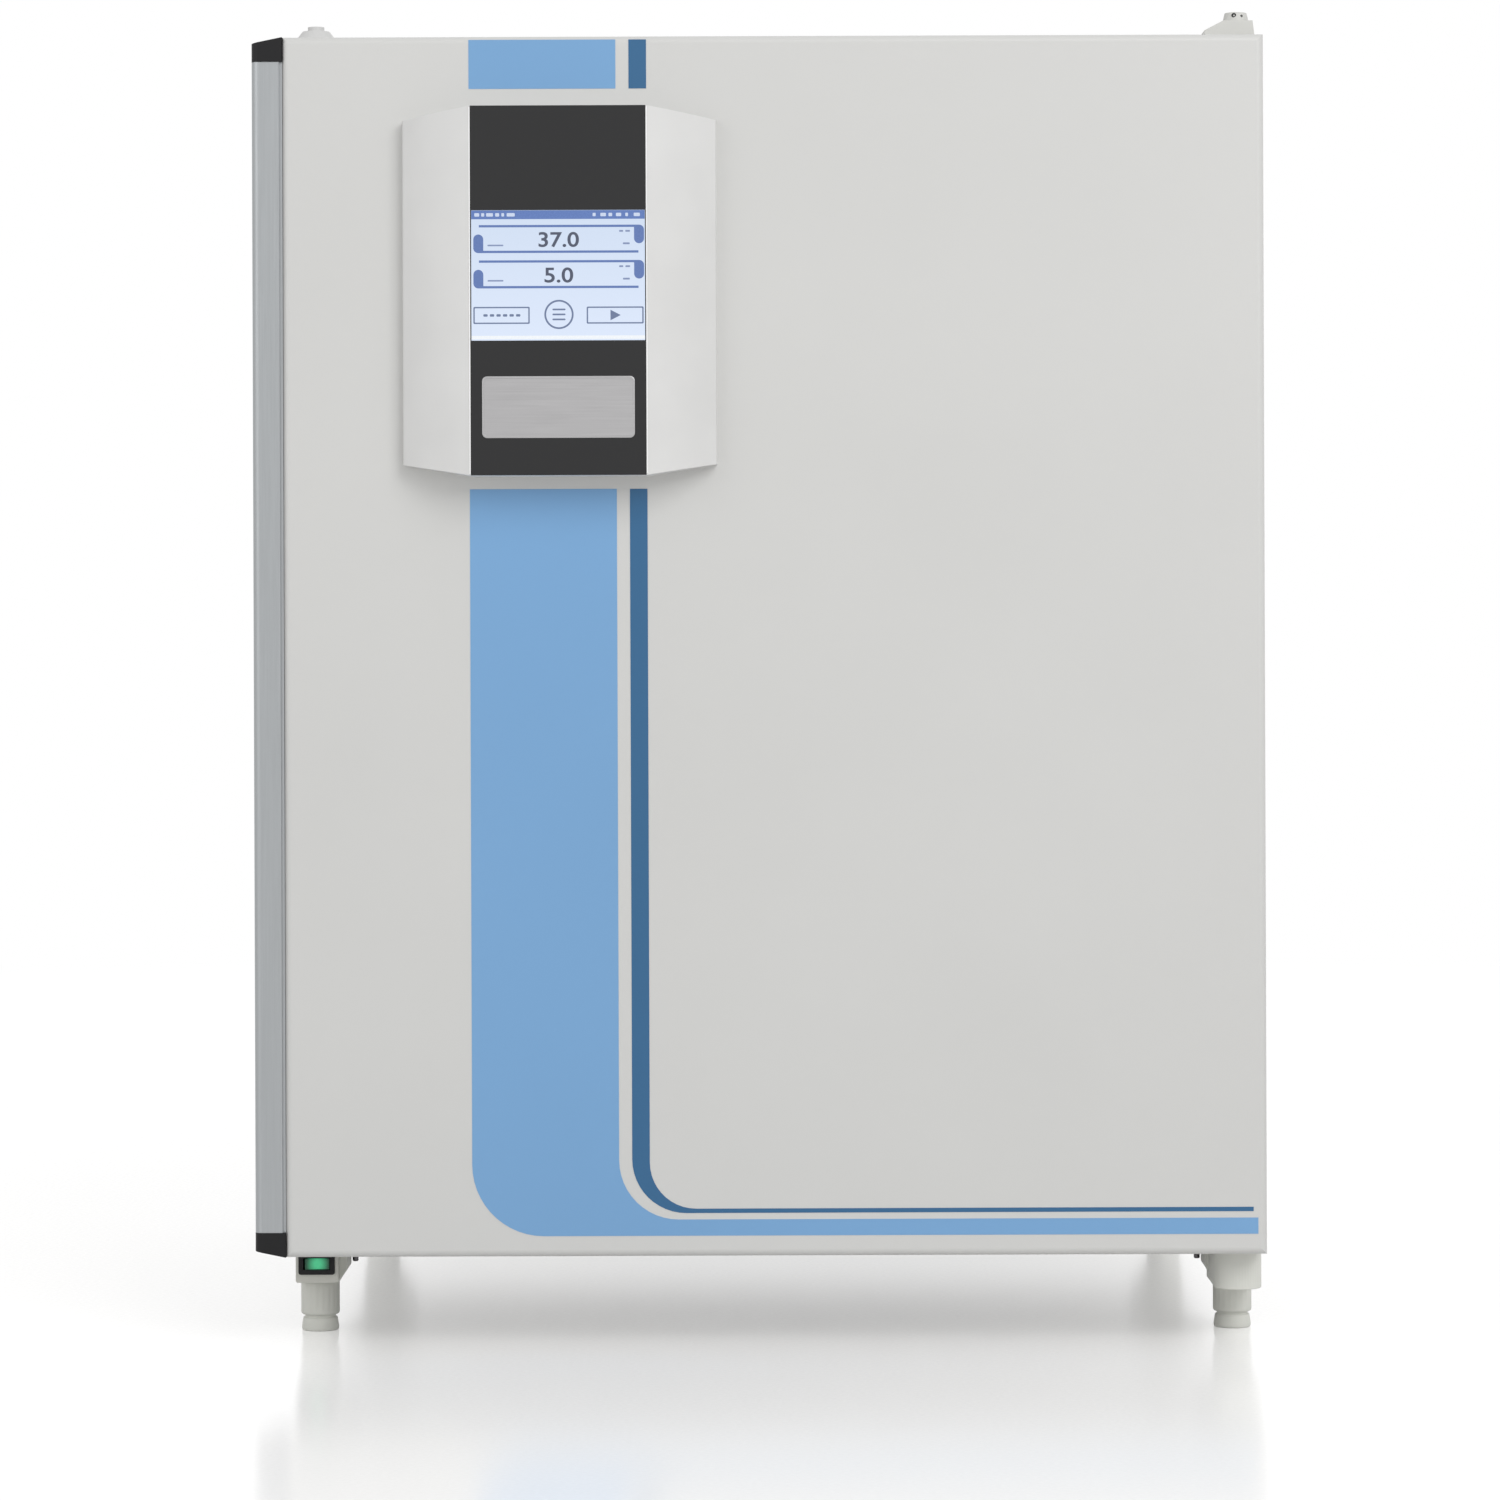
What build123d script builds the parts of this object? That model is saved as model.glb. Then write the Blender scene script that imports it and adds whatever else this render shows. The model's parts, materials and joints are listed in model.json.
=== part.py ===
from build123d import *
import math
import os

# Carbon dioxide incubator: an insulated cabinet with a hinged outer door, a glass inner door,
# a stainless chamber with three sliding shelves, a fan and levelling feet.
# Millimetres. X runs to the right, Y to the back, Z up.
# Each piece is drawn from the middle of the cabinet's width, the front face of the door and the
# bench. On export all pieces move together, so that the origin is the middle of the part's base.

# Cabinet and outer door, overall
cabinet_width = 637.0
cabinet_height = 792.0
cabinet_depth = 620.0
floor_clearance = 59.5
housing_sheet = 1.2
housing_edge_radius = 6.0
door_depth = 64.0
door_gap = 6.0
door_edge_radius = 4.5
liner_sheet = 1.0
liner_emboss = 4.0
foam_clearance = 0.3

# Chamber, front frame and glass door
side_wall = 83.5
end_wall = 92.5
rear_wall = 74.0
chamber_sheet = 1.0
chamber_corner = 28.0
chamber_rear_corner = 14.0
flange_width = 12.0
recess_depth = 16.0
recess_side_margin = 40.0
recess_end_margin = 28.0
glass_overlap = 15.0
glass_thickness = 6.0
glass_corner = 6.0
glass_seal_width = 7.0
glass_seal_inset = 3.0
glass_seal_depth = 3.2
seal_clearance = 0.3
trough_side_margin = 45.0
trough_end_margin = 100.0
trough_depth = 22.0
trough_corner = 18.0
trough_flange = 8.0

# Outer door gasket
gasket_width = 14.0
gasket_inset = 15.5
gasket_corner = 10.0

# Handle profile and its end caps
handle_width = 20.0
handle_reach = 43.0
handle_web = 3.5
handle_face = 4.0
handle_groove = 2.0
handle_lip = 12.0
handle_lip_wall = 3.2
handle_front = 1.0
handle_nose_radius = 5.0
cap_height = 16.0
cap_taper = 4.1
cap_rear_step = 1.0

# Control panel on the door
panel_inset = 180.1
panel_width = 203.0
panel_drop = 48.3
panel_height = 237.6
panel_shoulder = 7.5
panel_proud = 31.2
panel_edge_proud = 9.0
panel_wall = 3.0
panel_bulge = 2.6
panel_edge_radius = 2.5
fascia_width = 113.0
fascia_thickness = 1.5
fascia_recess = 0.3
screen_drop = 67.4
screen_height = 83.5
screen_margin = 0.8
screen_thickness = 7.0
screen_clearance = 0.15
plate_width = 98.2
plate_height = 39.8
plate_rise = 23.8
plate_radius = 3.3
plate_thickness = 0.6

# Stripe foils on the door
foil = 0.2
light_offset = 58.9
light_width = 95.3
dark_gap = 8.5
dark_width = 11.4
upper_foil_gap = 14.1
upper_foil_inset = 2.4
lower_foil_gap = 8.0
light_band_rise = 13.5
light_band_height = 10.5
light_outer_radius = 46.5
light_inner_radius = 38.6
dark_line_gap = 4.2
dark_line_height = 2.8
dark_outer_radius = 35.0
dark_inner_radius = 30.0
band_end_inset = 6.0
dark_end_inset = 9.0

# Outer door hinges
hinge_inset_x = 14.0
hinge_setback = 22.0
pin_radius = 5.0
pin_fit = 0.05
pin_engagement = 22.0
bush_radius = 9.0
bush_length = 26.0
bush_flange_radius = 13.0
bush_flange = 1.5
arm_front_margin = 16.0
arm_thickness = 8.0
arm_width = 36.0
arm_boss_height = 9.0
arm_boss_radius = 13.5
arm_boss_top_radius = 9.0
arm_socket_radius = 3.5
hinge_plate_width = 48.0
hinge_plate_length = 55.0
hinge_screw_pitch = 24.0

# Foot blocks, feet and stacking pads
foot_inset_x = 14.0
foot_front_setback = 26.0
foot_rear_setback = 35.0
block_width = 33.5
block_length = 32.0
block_bottom = 33.0
block_corner = 8.0
block_lower_radius = 4.0
hinge_block_width = 39.5
foot_radius = 12.85
foot_pad_radius = 12.4
foot_pad_height = 8.5
foot_neck_radius = 10.2
foot_neck_height = 2.0
foot_gap = 0.2
spindle_radius = 5.0
foot_travel = 15.0
foot_engagement = 4.0
stack_pad_radius = 13.0
stack_pad_rim = 10.0
stack_pad_shoulder_radius = 9.0
stack_pad_shoulder = 15.0
stack_pad_knob_radius = 5.5
stack_pad_height = 18.0

# Power switch in its box under the left front corner
switch_box_width = 27.8
switch_box_depth = 16.0
switch_box_height = 24.5
bezel_width = 24.0
bezel_height = 14.0
bezel_flange = 1.5
bezel_wall = 1.6
bezel_body_depth = 10.0
bezel_drop = 2.0
rocker_clearance = 0.5
rocker_pivot_depth = 3.0
rocker_tilt = 8.0
rocker_bulge = 1.4
rocker_root = 4.0

# Shelves, rails and uprights
shelf_count = 3
shelf_side_play = 14.5
shelf_rear_gap = 41.0
shelf_sheet = 1.5
shelf_lip = 12.0
shelf_front_setback = 44.0
shelf_door_gap = 4.0
shelf_first_height = 140.0
shelf_head_room = 20.0
slot_pitch = 35.0
shelf_slot_columns = 6
shelf_slot_rows = 8
shelf_slot_length = 50.0
shelf_slot_width = 12.0
shelf_corner = 6.0
rail_end_gap = 17.5
rail_sheet = 1.5
rail_ledge = 20.0
rail_play = 1.0
rail_tab = 3.0
upright_standoff = 6.0
upright_sheet = 1.5
upright_width = 20.0
upright_margin = 33.0
upright_front = 80.0
upright_rear_margin = 130.0
upright_slot_width = 5.0
upright_slot_height = 14.0
standoff_radius = 4.0
standoff_inset = 6.0

# Fan, motor and sensor head on the rear wall of the chamber
fan_drop = 62.0
fan_offset = -70.0
fan_radius = 50.0
fan_blades = 9
fan_blade_height = 20.0
fan_blade_sheet = 1.6
fan_blade_sweep = 40.0
fan_disc = 2.0
fan_hub_radius = 14.0
fan_wall_gap = 6.0
shaft_radius = 4.0
shaft_clearance = 0.6
motor_radius = 27.0
motor_length = 34.0
motor_flange = 34.0
motor_flange_thickness = 3.0
motor_grip = 12.0
sensor_offset = 75.0
sensor_plate_width = 70.0
sensor_plate_height = 88.0
sensor_plate_thickness = 8.0
sensor_radius = 11.0
sensor_length = 48.0
sensor_rounding = 3.5
probe_radius = 3.0
probe_length = 62.0

# Rear side
rear_cover_side_margin = 78.5
rear_cover_drop = 51.5
rear_cover_height = 240.0
rear_cover_depth = 60.0
rear_cover_sheet = 1.5
rear_cover_radius = 5.0
louvre_rows = 7
louvre_width = 120.0
louvre_height = 4.5
louvre_pitch = 12.0
louvre_offset = 130.0
port_offset = -150.0
port_rise = 178.0
port_radius = 21.0
port_wall = 2.5
port_flange_radius = 30.0
port_flange = 3.0
port_stub = 9.0
plug_clearance = 0.3
plug_depth = 60.0
plug_head_radius = 25.0
plug_head = 11.0
vent_offset = 150.0
vent_rise = 178.0
vent_tube_radius = 6.0
vent_bore_radius = 4.0
vent_cap_radius = 15.0
vent_cap = 9.0
inlet_offset = 190.0
service_drop = 40.0
inlet_width = 48.0
inlet_height = 28.0
inlet_depth = 14.0
inlet_cavity_width = 24.5
inlet_cavity_height = 17.0
inlet_cavity_depth = 12.0
inlet_blade = 2.0
inlet_blade_width = 4.0
inlet_blade_length = 9.0
nipple_radius = 4.0
nipple_length = 16.0
nipple_hex = 9.0
nipple_hex_depth = 8.0
nipple_pitch = 40.0
nipple_offset = -120.0
socket_offset = 60.0
socket_pitch = 48.0
socket_width = 34.0
socket_height = 16.0
socket_depth = 5.0
socket_recess = 3.0
socket_corner = 2.0
screw_head_radius = 4.0
screw_head_height = 2.4
panel_screw_rows = 4

# Glass door hinges and latch
glass_axis_offset = 6.0
glass_axis_forward = 4.0
glass_knuckle_radius = 4.0
glass_pin_radius = 2.0
glass_hinge_inset = 95.0
glass_knuckle_length = 22.0
glass_ear = 6.0
glass_leaf_width = 24.0
glass_leaf_sheet = 3.0
glass_bracket_sheet = 2.5
glass_bracket_width = 13.0
latch_inset = 12.0
latch_hub_radius = 9.0
latch_thickness = 5.0
latch_lift = 1.0
latch_reach = 26.5
latch_arm_height = 10.0
latch_grip = 30.0
latch_stud_radius = 3.0
latch_stud_head = 6.0
latch_stud_head_thickness = 1.5
keeper_height = 24.0
keeper_wall = 5.0
keeper_lip = 14.0
keeper_lip_thickness = 2.5
keeper_side_gap = 2.0
keeper_lip_gap = 0.5

# How far a cutting shape reaches past the face that it opens
past = 5.0
# Two flat pieces on different bodies stay this far apart
flat_gap = 0.3

# Places worked out from the sizes above
left = -cabinet_width / 2
right = cabinet_width / 2
bottom = floor_clearance
top = bottom + cabinet_height
front = door_depth + door_gap
back = front + cabinet_depth
middle = (bottom + top) / 2

chamber_left = left + side_wall
chamber_right = right - side_wall
chamber_floor = bottom + end_wall
chamber_top = top - end_wall
recess_floor = front + recess_depth
chamber_back = back - rear_wall
rear_inside = back - housing_sheet
frame_back = recess_floor + housing_sheet

glass_back = recess_floor - chamber_sheet - glass_seal_depth - seal_clearance
glass_front = glass_back - glass_thickness
glass_left = chamber_left - glass_overlap
glass_right = chamber_right + glass_overlap
glass_low = chamber_floor - glass_overlap
glass_high = chamber_top + glass_overlap
glass_axis_x = glass_right + glass_axis_offset
glass_axis_y = glass_front - glass_axis_forward

liner_back = door_depth
liner_floor = door_depth - liner_emboss
door_inside = liner_floor - liner_sheet

hinge_x = right - hinge_inset_x
hinge_y = door_depth - hinge_setback

foot_x = cabinet_width / 2 - foot_inset_x
foot_front_y = front + foot_front_setback
foot_rear_y = back - foot_rear_setback
spindle_length = foot_travel + foot_engagement

panel_high = top - panel_drop
panel_low = panel_high - panel_height
panel_center_x = left + panel_inset
panel_left = panel_center_x - panel_width / 2
panel_right = panel_center_x + panel_width / 2
fascia_left = panel_center_x - fascia_width / 2
fascia_right = panel_center_x + fascia_width / 2
fascia_front = -panel_proud + fascia_recess
fascia_back = fascia_front + fascia_thickness

fan_z = chamber_top - fan_drop
shaft_end = back + motor_flange_thickness + motor_grip

upright_face = chamber_right - upright_standoff - upright_sheet
shelf_width = 2 * (upright_face - rail_sheet - shelf_side_play)
shelf_front = recess_floor + shelf_front_setback
shelf_back = chamber_back - shelf_rear_gap
shelf_travel = shelf_front_setback - shelf_door_gap
first_shelf = chamber_floor + shelf_first_height
shelf_room = fan_z - sensor_plate_height / 2 - shelf_head_room - first_shelf
slots_per_shelf = int(shelf_room // (slot_pitch * max(shelf_count - 1, 1)))
shelf_heights = [first_shelf + n * slot_pitch * slots_per_shelf for n in range(shelf_count)]

rear_cover_high = top - rear_cover_drop
rear_cover_low = rear_cover_high - rear_cover_height
service_height = rear_cover_low - service_drop
port_height = chamber_floor + port_rise
vent_height = chamber_floor + vent_rise

handle_left = left - handle_width
lowest_y = -panel_proud + fascia_recess - plate_thickness
highest_y = back + rear_cover_depth
origin_x = (handle_left + right) / 2
origin_y = (lowest_y + highest_y) / 2


def block(x_range, y_range, z_range):
    """A box between two places on each axis."""
    x0, x1 = x_range
    y0, y1 = y_range
    z0, z1 = z_range
    return Pos((x0 + x1) / 2, (y0 + y1) / 2, (z0 + z1) / 2) * Box(x1 - x0, y1 - y0, z1 - z0)


def post(x, y, z_range, radius):
    """An upright cylinder."""
    z0, z1 = z_range
    return Pos(x, y, (z0 + z1) / 2) * Cylinder(radius, z1 - z0)


def spindle(x, z, y_range, radius):
    """A cylinder that runs from front to back."""
    y0, y1 = y_range
    return Pos(x, (y0 + y1) / 2, z) * Rot(90, 0, 0) * Cylinder(radius, y1 - y0)


def cross_stud(y, z, x_range, radius):
    """A cylinder that runs from left to right."""
    x0, x1 = x_range
    return Pos((x0 + x1) / 2, y, z) * Rot(0, 90, 0) * Cylinder(radius, x1 - x0)


def rounded_slab(x_range, y_range, z_range, radius):
    """A slab that faces the front, with rounded corners."""
    x0, x1 = x_range
    y0, y1 = y_range
    z0, z1 = z_range
    outline = Plane.XZ * RectangleRounded(x1 - x0, z1 - z0, radius)
    return Pos((x0 + x1) / 2, y1, (z0 + z1) / 2) * extrude(outline, amount=y1 - y0)


def wall_prism(points, y_range):
    """A prism of a front-view outline, from one depth to another."""
    y0, y1 = y_range
    outline = Plane.XZ * Polygon(*points, align=None)
    return Pos(0, y1, 0) * extrude(outline, amount=y1 - y0, dir=(0, -1, 0))


def grown(limits, amount):
    """Limits moved apart by an amount at both ends."""
    return (limits[0] - amount, limits[1] + amount)


def inner_radius(outer_radius, wall):
    """The inside radius of a bent sheet."""
    return max(outer_radius - wall, wall / 4)


# Limits that several pieces share
cabinet_x = (left, right)
cabinet_z = (bottom, top)
inside_x = grown(cabinet_x, -housing_sheet)
inside_z = grown(cabinet_z, -housing_sheet)
chamber_x = (chamber_left, chamber_right)
chamber_z = (chamber_floor, chamber_top)


def outer_housing():
    """Sides and top in one bent sheet, open at the front, the back and below."""
    wrap = block(cabinet_x, (front, back), cabinet_z)
    upper_edges = wrap.edges().filter_by(Axis.Y).group_by(Axis.Z)[-1]
    wrap = fillet(upper_edges, housing_edge_radius)
    hollow = block(inside_x, grown((front, back), past), (bottom - past, top - housing_sheet))
    hollow_edges = hollow.edges().filter_by(Axis.Y).group_by(Axis.Z)[-1]
    return wrap - fillet(hollow_edges, inner_radius(housing_edge_radius, housing_sheet))


def base_plate():
    """The underside, between the side walls."""
    return block(inside_x, (front, back), (bottom, bottom + housing_sheet))


def service_holes(y_range, margin):
    """What passes through the rear wall: fan shaft, access port and vent tube."""
    shaft = spindle(fan_offset, fan_z, y_range, shaft_radius + shaft_clearance)
    port = spindle(port_offset, port_height, y_range, port_radius + port_wall + margin)
    vent = spindle(vent_offset, vent_height, y_range, vent_tube_radius + margin)
    return [shaft, port, vent]


def rear_panel():
    """The back wall inside the wrap, with the upper corners rounded like the wrap's."""
    panel = block(inside_x, (rear_inside, back), inside_z)
    upper_edges = panel.edges().filter_by(Axis.Y).group_by(Axis.Z)[-1]
    panel = fillet(upper_edges, inner_radius(housing_edge_radius, housing_sheet) + foam_clearance)
    return panel - service_holes(grown((rear_inside, back), past), flat_gap / 10)


recess_x = (chamber_left - recess_side_margin, chamber_right + recess_side_margin)
recess_z = (chamber_floor - recess_end_margin, chamber_top + recess_end_margin)


def front_frame():
    """The rim that the outer door closes on, with the recess that holds the glass door."""
    rim = block(inside_x, (front, front + housing_sheet), inside_z)
    upper_edges = rim.edges().filter_by(Axis.Y).group_by(Axis.Z)[-1]
    rim = fillet(upper_edges, inner_radius(housing_edge_radius, housing_sheet) + foam_clearance)
    well = rounded_slab(
        grown(recess_x, housing_sheet), (front, frame_back), grown(recess_z, housing_sheet), glass_corner
    )
    room = rounded_slab(
        recess_x, (front - past, recess_floor), recess_z, inner_radius(glass_corner, housing_sheet)
    )
    outer_sheet = chamber_sheet + foam_clearance / 2
    mouth = rounded_slab(
        grown(chamber_x, outer_sheet),
        (recess_floor - past, frame_back + past),
        grown(chamber_z, outer_sheet),
        chamber_corner + outer_sheet,
    )
    return rim + well - room - mouth


def chamber_insulation():
    """Foam between the chamber and the housing."""
    foam_x = grown(inside_x, -foam_clearance)
    foam_z = grown(inside_z, -foam_clearance)
    foam = block(foam_x, (frame_back, rear_inside), foam_z)
    foam_edges = foam.edges().filter_by(Axis.Y).group_by(Axis.Z)[-1]
    foam = fillet(foam_edges, inner_radius(housing_edge_radius, housing_sheet))
    shell = chamber_sheet + foam_clearance
    room = rounded_slab(
        grown(chamber_x, shell),
        (frame_back - past, chamber_back + shell),
        grown(chamber_z, shell),
        chamber_corner,
    )
    pan = block(grown(trough_x, shell), grown(trough_y, shell), (trough_floor - shell, chamber_floor))
    reach = trough_flange + foam_clearance
    flange_z = (chamber_floor - 2 * chamber_sheet - foam_clearance, chamber_floor)
    pan += block(grown(trough_x, reach), grown(trough_y, reach), flange_z)
    return foam - room - pan - service_holes((chamber_back - past, back + past), foam_clearance)


trough_x = grown(chamber_x, -trough_side_margin)
trough_y = grown((recess_floor, chamber_back), -trough_end_margin)
trough_floor = chamber_floor - trough_depth


def trough_slab(grow, z_range):
    """The trough's outline in plan, grown at its sides, from one height to another."""
    slab = block(grown(trough_x, grow), grown(trough_y, grow), z_range)
    return fillet(slab.edges().filter_by(Axis.Z), trough_corner + grow)


def water_trough():
    """Drawn pan let into the chamber's floor, with a flange that lies under the floor's sheet."""
    seat = chamber_floor - chamber_sheet
    pan = trough_slab(chamber_sheet, (trough_floor - chamber_sheet, seat))
    pan += trough_slab(trough_flange, (seat - chamber_sheet, seat))
    return pan - trough_slab(0, (trough_floor, chamber_floor))


def tank(grow):
    """The chamber's room, or its outside when grown by the sheet."""
    room = rounded_slab(
        grown(chamber_x, grow),
        (recess_floor - chamber_sheet, chamber_back + grow),
        grown(chamber_z, grow),
        chamber_corner + grow,
    )
    rear_edges = room.faces().sort_by(Axis.Y)[-1].edges()
    return fillet(rear_edges, chamber_rear_corner + grow)


def inner_chamber():
    """Drawn stainless chamber with a mouth flange and a hole in its floor for the water trough."""
    flange = rounded_slab(
        grown(chamber_x, flange_width),
        (recess_floor - chamber_sheet, recess_floor),
        grown(chamber_z, flange_width),
        chamber_corner + flange_width,
    )
    mouth = rounded_slab(
        chamber_x, (recess_floor - past, recess_floor + past), chamber_z, chamber_corner
    )
    chamber = tank(chamber_sheet) + flange - tank(0) - mouth
    chamber -= trough_slab(0, grown((chamber_floor - chamber_sheet, chamber_floor), past))
    return chamber - service_holes(grown((chamber_back, chamber_back), past), flat_gap / 10)


def glass_door_seal():
    """Silicone ring on the mouth flange, just behind the glass."""
    seal_y = (glass_back + seal_clearance, recess_floor - chamber_sheet)
    outer = glass_seal_inset + glass_seal_width
    ring = rounded_slab(grown(chamber_x, outer), seal_y, grown(chamber_z, outer), chamber_corner + outer)
    hole = rounded_slab(
        grown(chamber_x, glass_seal_inset),
        grown(seal_y, past),
        grown(chamber_z, glass_seal_inset),
        chamber_corner + glass_seal_inset,
    )
    return ring - hole


upright_low = chamber_floor + upright_margin
upright_high = chamber_top - upright_margin
upright_y = [recess_floor + upright_front, chamber_back - upright_rear_margin]


def slot_heights():
    """Middles of the slots in an upright, in step with the shelf levels."""
    first = shelf_heights[0]
    below = int((first - upright_low - upright_slot_height) // slot_pitch)
    above = int((upright_high - first - upright_slot_height) // slot_pitch)
    return [first + n * slot_pitch for n in range(-below, above + 1)]


def shelf_uprights():
    """Four slotted strips, each standing off the chamber wall on two studs."""
    strips = []
    for side in (-1, 1):
        for y in upright_y:
            face = sorted((side * upright_face, side * (upright_face + upright_sheet)))
            strip = block(face, (y - upright_width / 2, y + upright_width / 2), (upright_low, upright_high))
            for z in slot_heights():
                strip -= block(
                    grown(face, past),
                    (y - upright_slot_width / 2, y + upright_slot_width / 2),
                    (z - upright_slot_height / 2, z + upright_slot_height / 2),
                )
            stud_x = sorted((side * (upright_face + upright_sheet), side * chamber_right))
            for z in (upright_low + standoff_inset, upright_high - standoff_inset):
                strip += cross_stud(y, z, stud_x, standoff_radius)
            strips.append(strip)
    return strips


rail_y = (shelf_front + rail_end_gap, shelf_back - rail_end_gap)


def shelf_rails(level):
    """A left and a right channel rail, hooked into the uprights."""
    rails = []
    z_low = level - rail_sheet
    z_high = level + shelf_sheet + rail_play
    for side in (-1, 1):
        outer = side * upright_face
        inner = side * (upright_face - rail_sheet - rail_ledge)
        rail = block(sorted((inner, outer)), rail_y, (z_low, z_high + rail_sheet))
        room = sorted((side * (upright_face - rail_sheet - rail_ledge - past), outer - side * rail_sheet))
        rail -= block(room, grown(rail_y, past), (level, z_high))
        tab_x = sorted((outer, side * (upright_face + upright_sheet + rail_tab)))
        for y in upright_y:
            tab_y = (y - rail_sheet / 2, y + rail_sheet / 2)
            rail += block(tab_x, tab_y, (z_low, z_high + rail_sheet))
        rails.append(rail)
    return rails


def shelf(level):
    """A slotted stainless shelf with a lip turned down in front and one turned up at the back."""
    plate_x = (-shelf_width / 2, shelf_width / 2)
    plate_y = (shelf_front, shelf_back)
    plate = rounded_shelf_plate(plate_x, plate_y, (level, level + shelf_sheet))
    lip_half = upright_face - rail_sheet - rail_ledge - shelf_corner
    lip_x = (-lip_half, lip_half)
    plate += block(lip_x, (plate_y[0], plate_y[0] + shelf_sheet), (level - shelf_lip, level + shelf_sheet))
    plate += block(lip_x, (plate_y[1] - shelf_sheet, plate_y[1]), (level, level + shelf_lip))
    column_pitch = (shelf_width - 2 * shelf_corner) / shelf_slot_columns
    row_pitch = (shelf_back - shelf_front - 2 * shelf_lip) / shelf_slot_rows
    slot_middle = (plate_y[0] + plate_y[1]) / 2
    for column in range(shelf_slot_columns):
        x = (column - (shelf_slot_columns - 1) / 2) * column_pitch
        for row in range(shelf_slot_rows):
            y = slot_middle + (row - (shelf_slot_rows - 1) / 2) * row_pitch
            plate -= block(
                (x - shelf_slot_length / 2, x + shelf_slot_length / 2),
                (y - shelf_slot_width / 2, y + shelf_slot_width / 2),
                grown((level, level + shelf_sheet), past),
            )
    return plate


def rounded_shelf_plate(x_range, y_range, z_range):
    """A flat plate with rounded corners in plan."""
    outline = RectangleRounded(x_range[1] - x_range[0], y_range[1] - y_range[0], shelf_corner)
    middle_x = (x_range[0] + x_range[1]) / 2
    middle_y = (y_range[0] + y_range[1]) / 2
    return Pos(middle_x, middle_y, z_range[0]) * extrude(outline, amount=z_range[1] - z_range[0])


def fan_wheel():
    """Radial wheel with swept blades between its disc and hub, on its shaft."""
    disc_back = chamber_back - fan_wall_gap
    disc_front = disc_back - fan_disc
    blade_front = disc_front - fan_blade_height
    wheel = spindle(0, 0, (disc_front, disc_back), fan_radius)
    wheel += spindle(0, 0, (blade_front, disc_front), fan_hub_radius)
    root = fan_hub_radius - fan_blade_sheet
    tip = fan_radius - fan_blade_sheet
    sweep = math.radians(fan_blade_sweep)
    tip_point = (tip * math.cos(sweep), tip * math.sin(sweep))
    bend_radius = (root + tip) / 2
    bend = (bend_radius * math.cos(sweep / 4), bend_radius * math.sin(sweep / 4))
    blade_line = ThreePointArc((root, 0), bend, tip_point)
    blade_outline = Plane.XZ * trace(blade_line, line_width=fan_blade_sheet)
    blade = Pos(0, disc_front, 0) * extrude(blade_outline, amount=fan_blade_height)
    for n in range(fan_blades):
        wheel += Rot(0, n * 360 / fan_blades, 0) * blade
    wheel += spindle(0, 0, (disc_back, shaft_end), shaft_radius)
    return Pos(fan_offset, 0, fan_z) * wheel


def fan_motor():
    """Motor on the rear panel, which holds the end of the fan shaft."""
    flange_y = (back, back + motor_flange_thickness)
    body = spindle(fan_offset, fan_z, flange_y, motor_flange)
    body += spindle(fan_offset, fan_z, (flange_y[1], flange_y[1] + motor_length), motor_radius)
    return body - spindle(fan_offset, fan_z, (back - past, shaft_end + flat_gap), shaft_radius + pin_fit)


def sensor_head():
    """Plate on the chamber's rear wall with the gas sensor, a temperature probe and its guard."""
    plate_x = (sensor_offset - sensor_plate_width / 2, sensor_offset + sensor_plate_width / 2)
    plate_z = (fan_z - sensor_plate_height / 2, fan_z + sensor_plate_height / 2)
    plate_y = (chamber_back - sensor_plate_thickness, chamber_back)
    head = rounded_slab(plate_x, plate_y, plate_z, shelf_corner)
    sensor_z = fan_z + sensor_plate_height / 4
    sensor_y = (plate_y[0] - sensor_length, plate_y[0])
    sensor = spindle(sensor_offset, sensor_z, sensor_y, sensor_radius)
    sensor = fillet(sensor.edges().group_by(Axis.Y)[0], sensor_rounding)
    probe_z = fan_z - sensor_plate_height / 4
    for x in (sensor_offset - sensor_radius, sensor_offset + sensor_radius):
        head += spindle(x, probe_z, (plate_y[0] - probe_length, plate_y[0]), probe_radius)
    return head + sensor


def glass_pane():
    """Tempered glass of the inner door, with a hole for the latch stud."""
    pane = rounded_slab(
        (glass_left, glass_right), (glass_front, glass_back), (glass_low, glass_high), glass_corner
    )
    return pane - spindle(latch_x, middle, grown((glass_front, glass_back), past), latch_stud_radius)


latch_x = glass_left + latch_inset
latch_y = (glass_front - latch_lift - latch_thickness, glass_front - latch_lift)
glass_hinge_z = [chamber_floor + glass_hinge_inset, chamber_top - glass_hinge_inset]


def glass_hinge_leaves():
    """Two leaves clamped to the face of the glass, each with a knuckle on the hinge axis."""
    leaves = []
    for z in glass_hinge_z:
        z_range = (z - glass_knuckle_length / 2, z + glass_knuckle_length / 2)
        leaf = block(
            (glass_right - glass_leaf_width, glass_axis_x),
            (glass_front - glass_leaf_sheet, glass_front),
            z_range,
        )
        leaf += post(glass_axis_x, glass_axis_y, z_range, glass_knuckle_radius)
        bore = grown(z_range, past)
        leaves.append(leaf - post(glass_axis_x, glass_axis_y, bore, glass_pin_radius + pin_fit))
    return leaves


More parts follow.
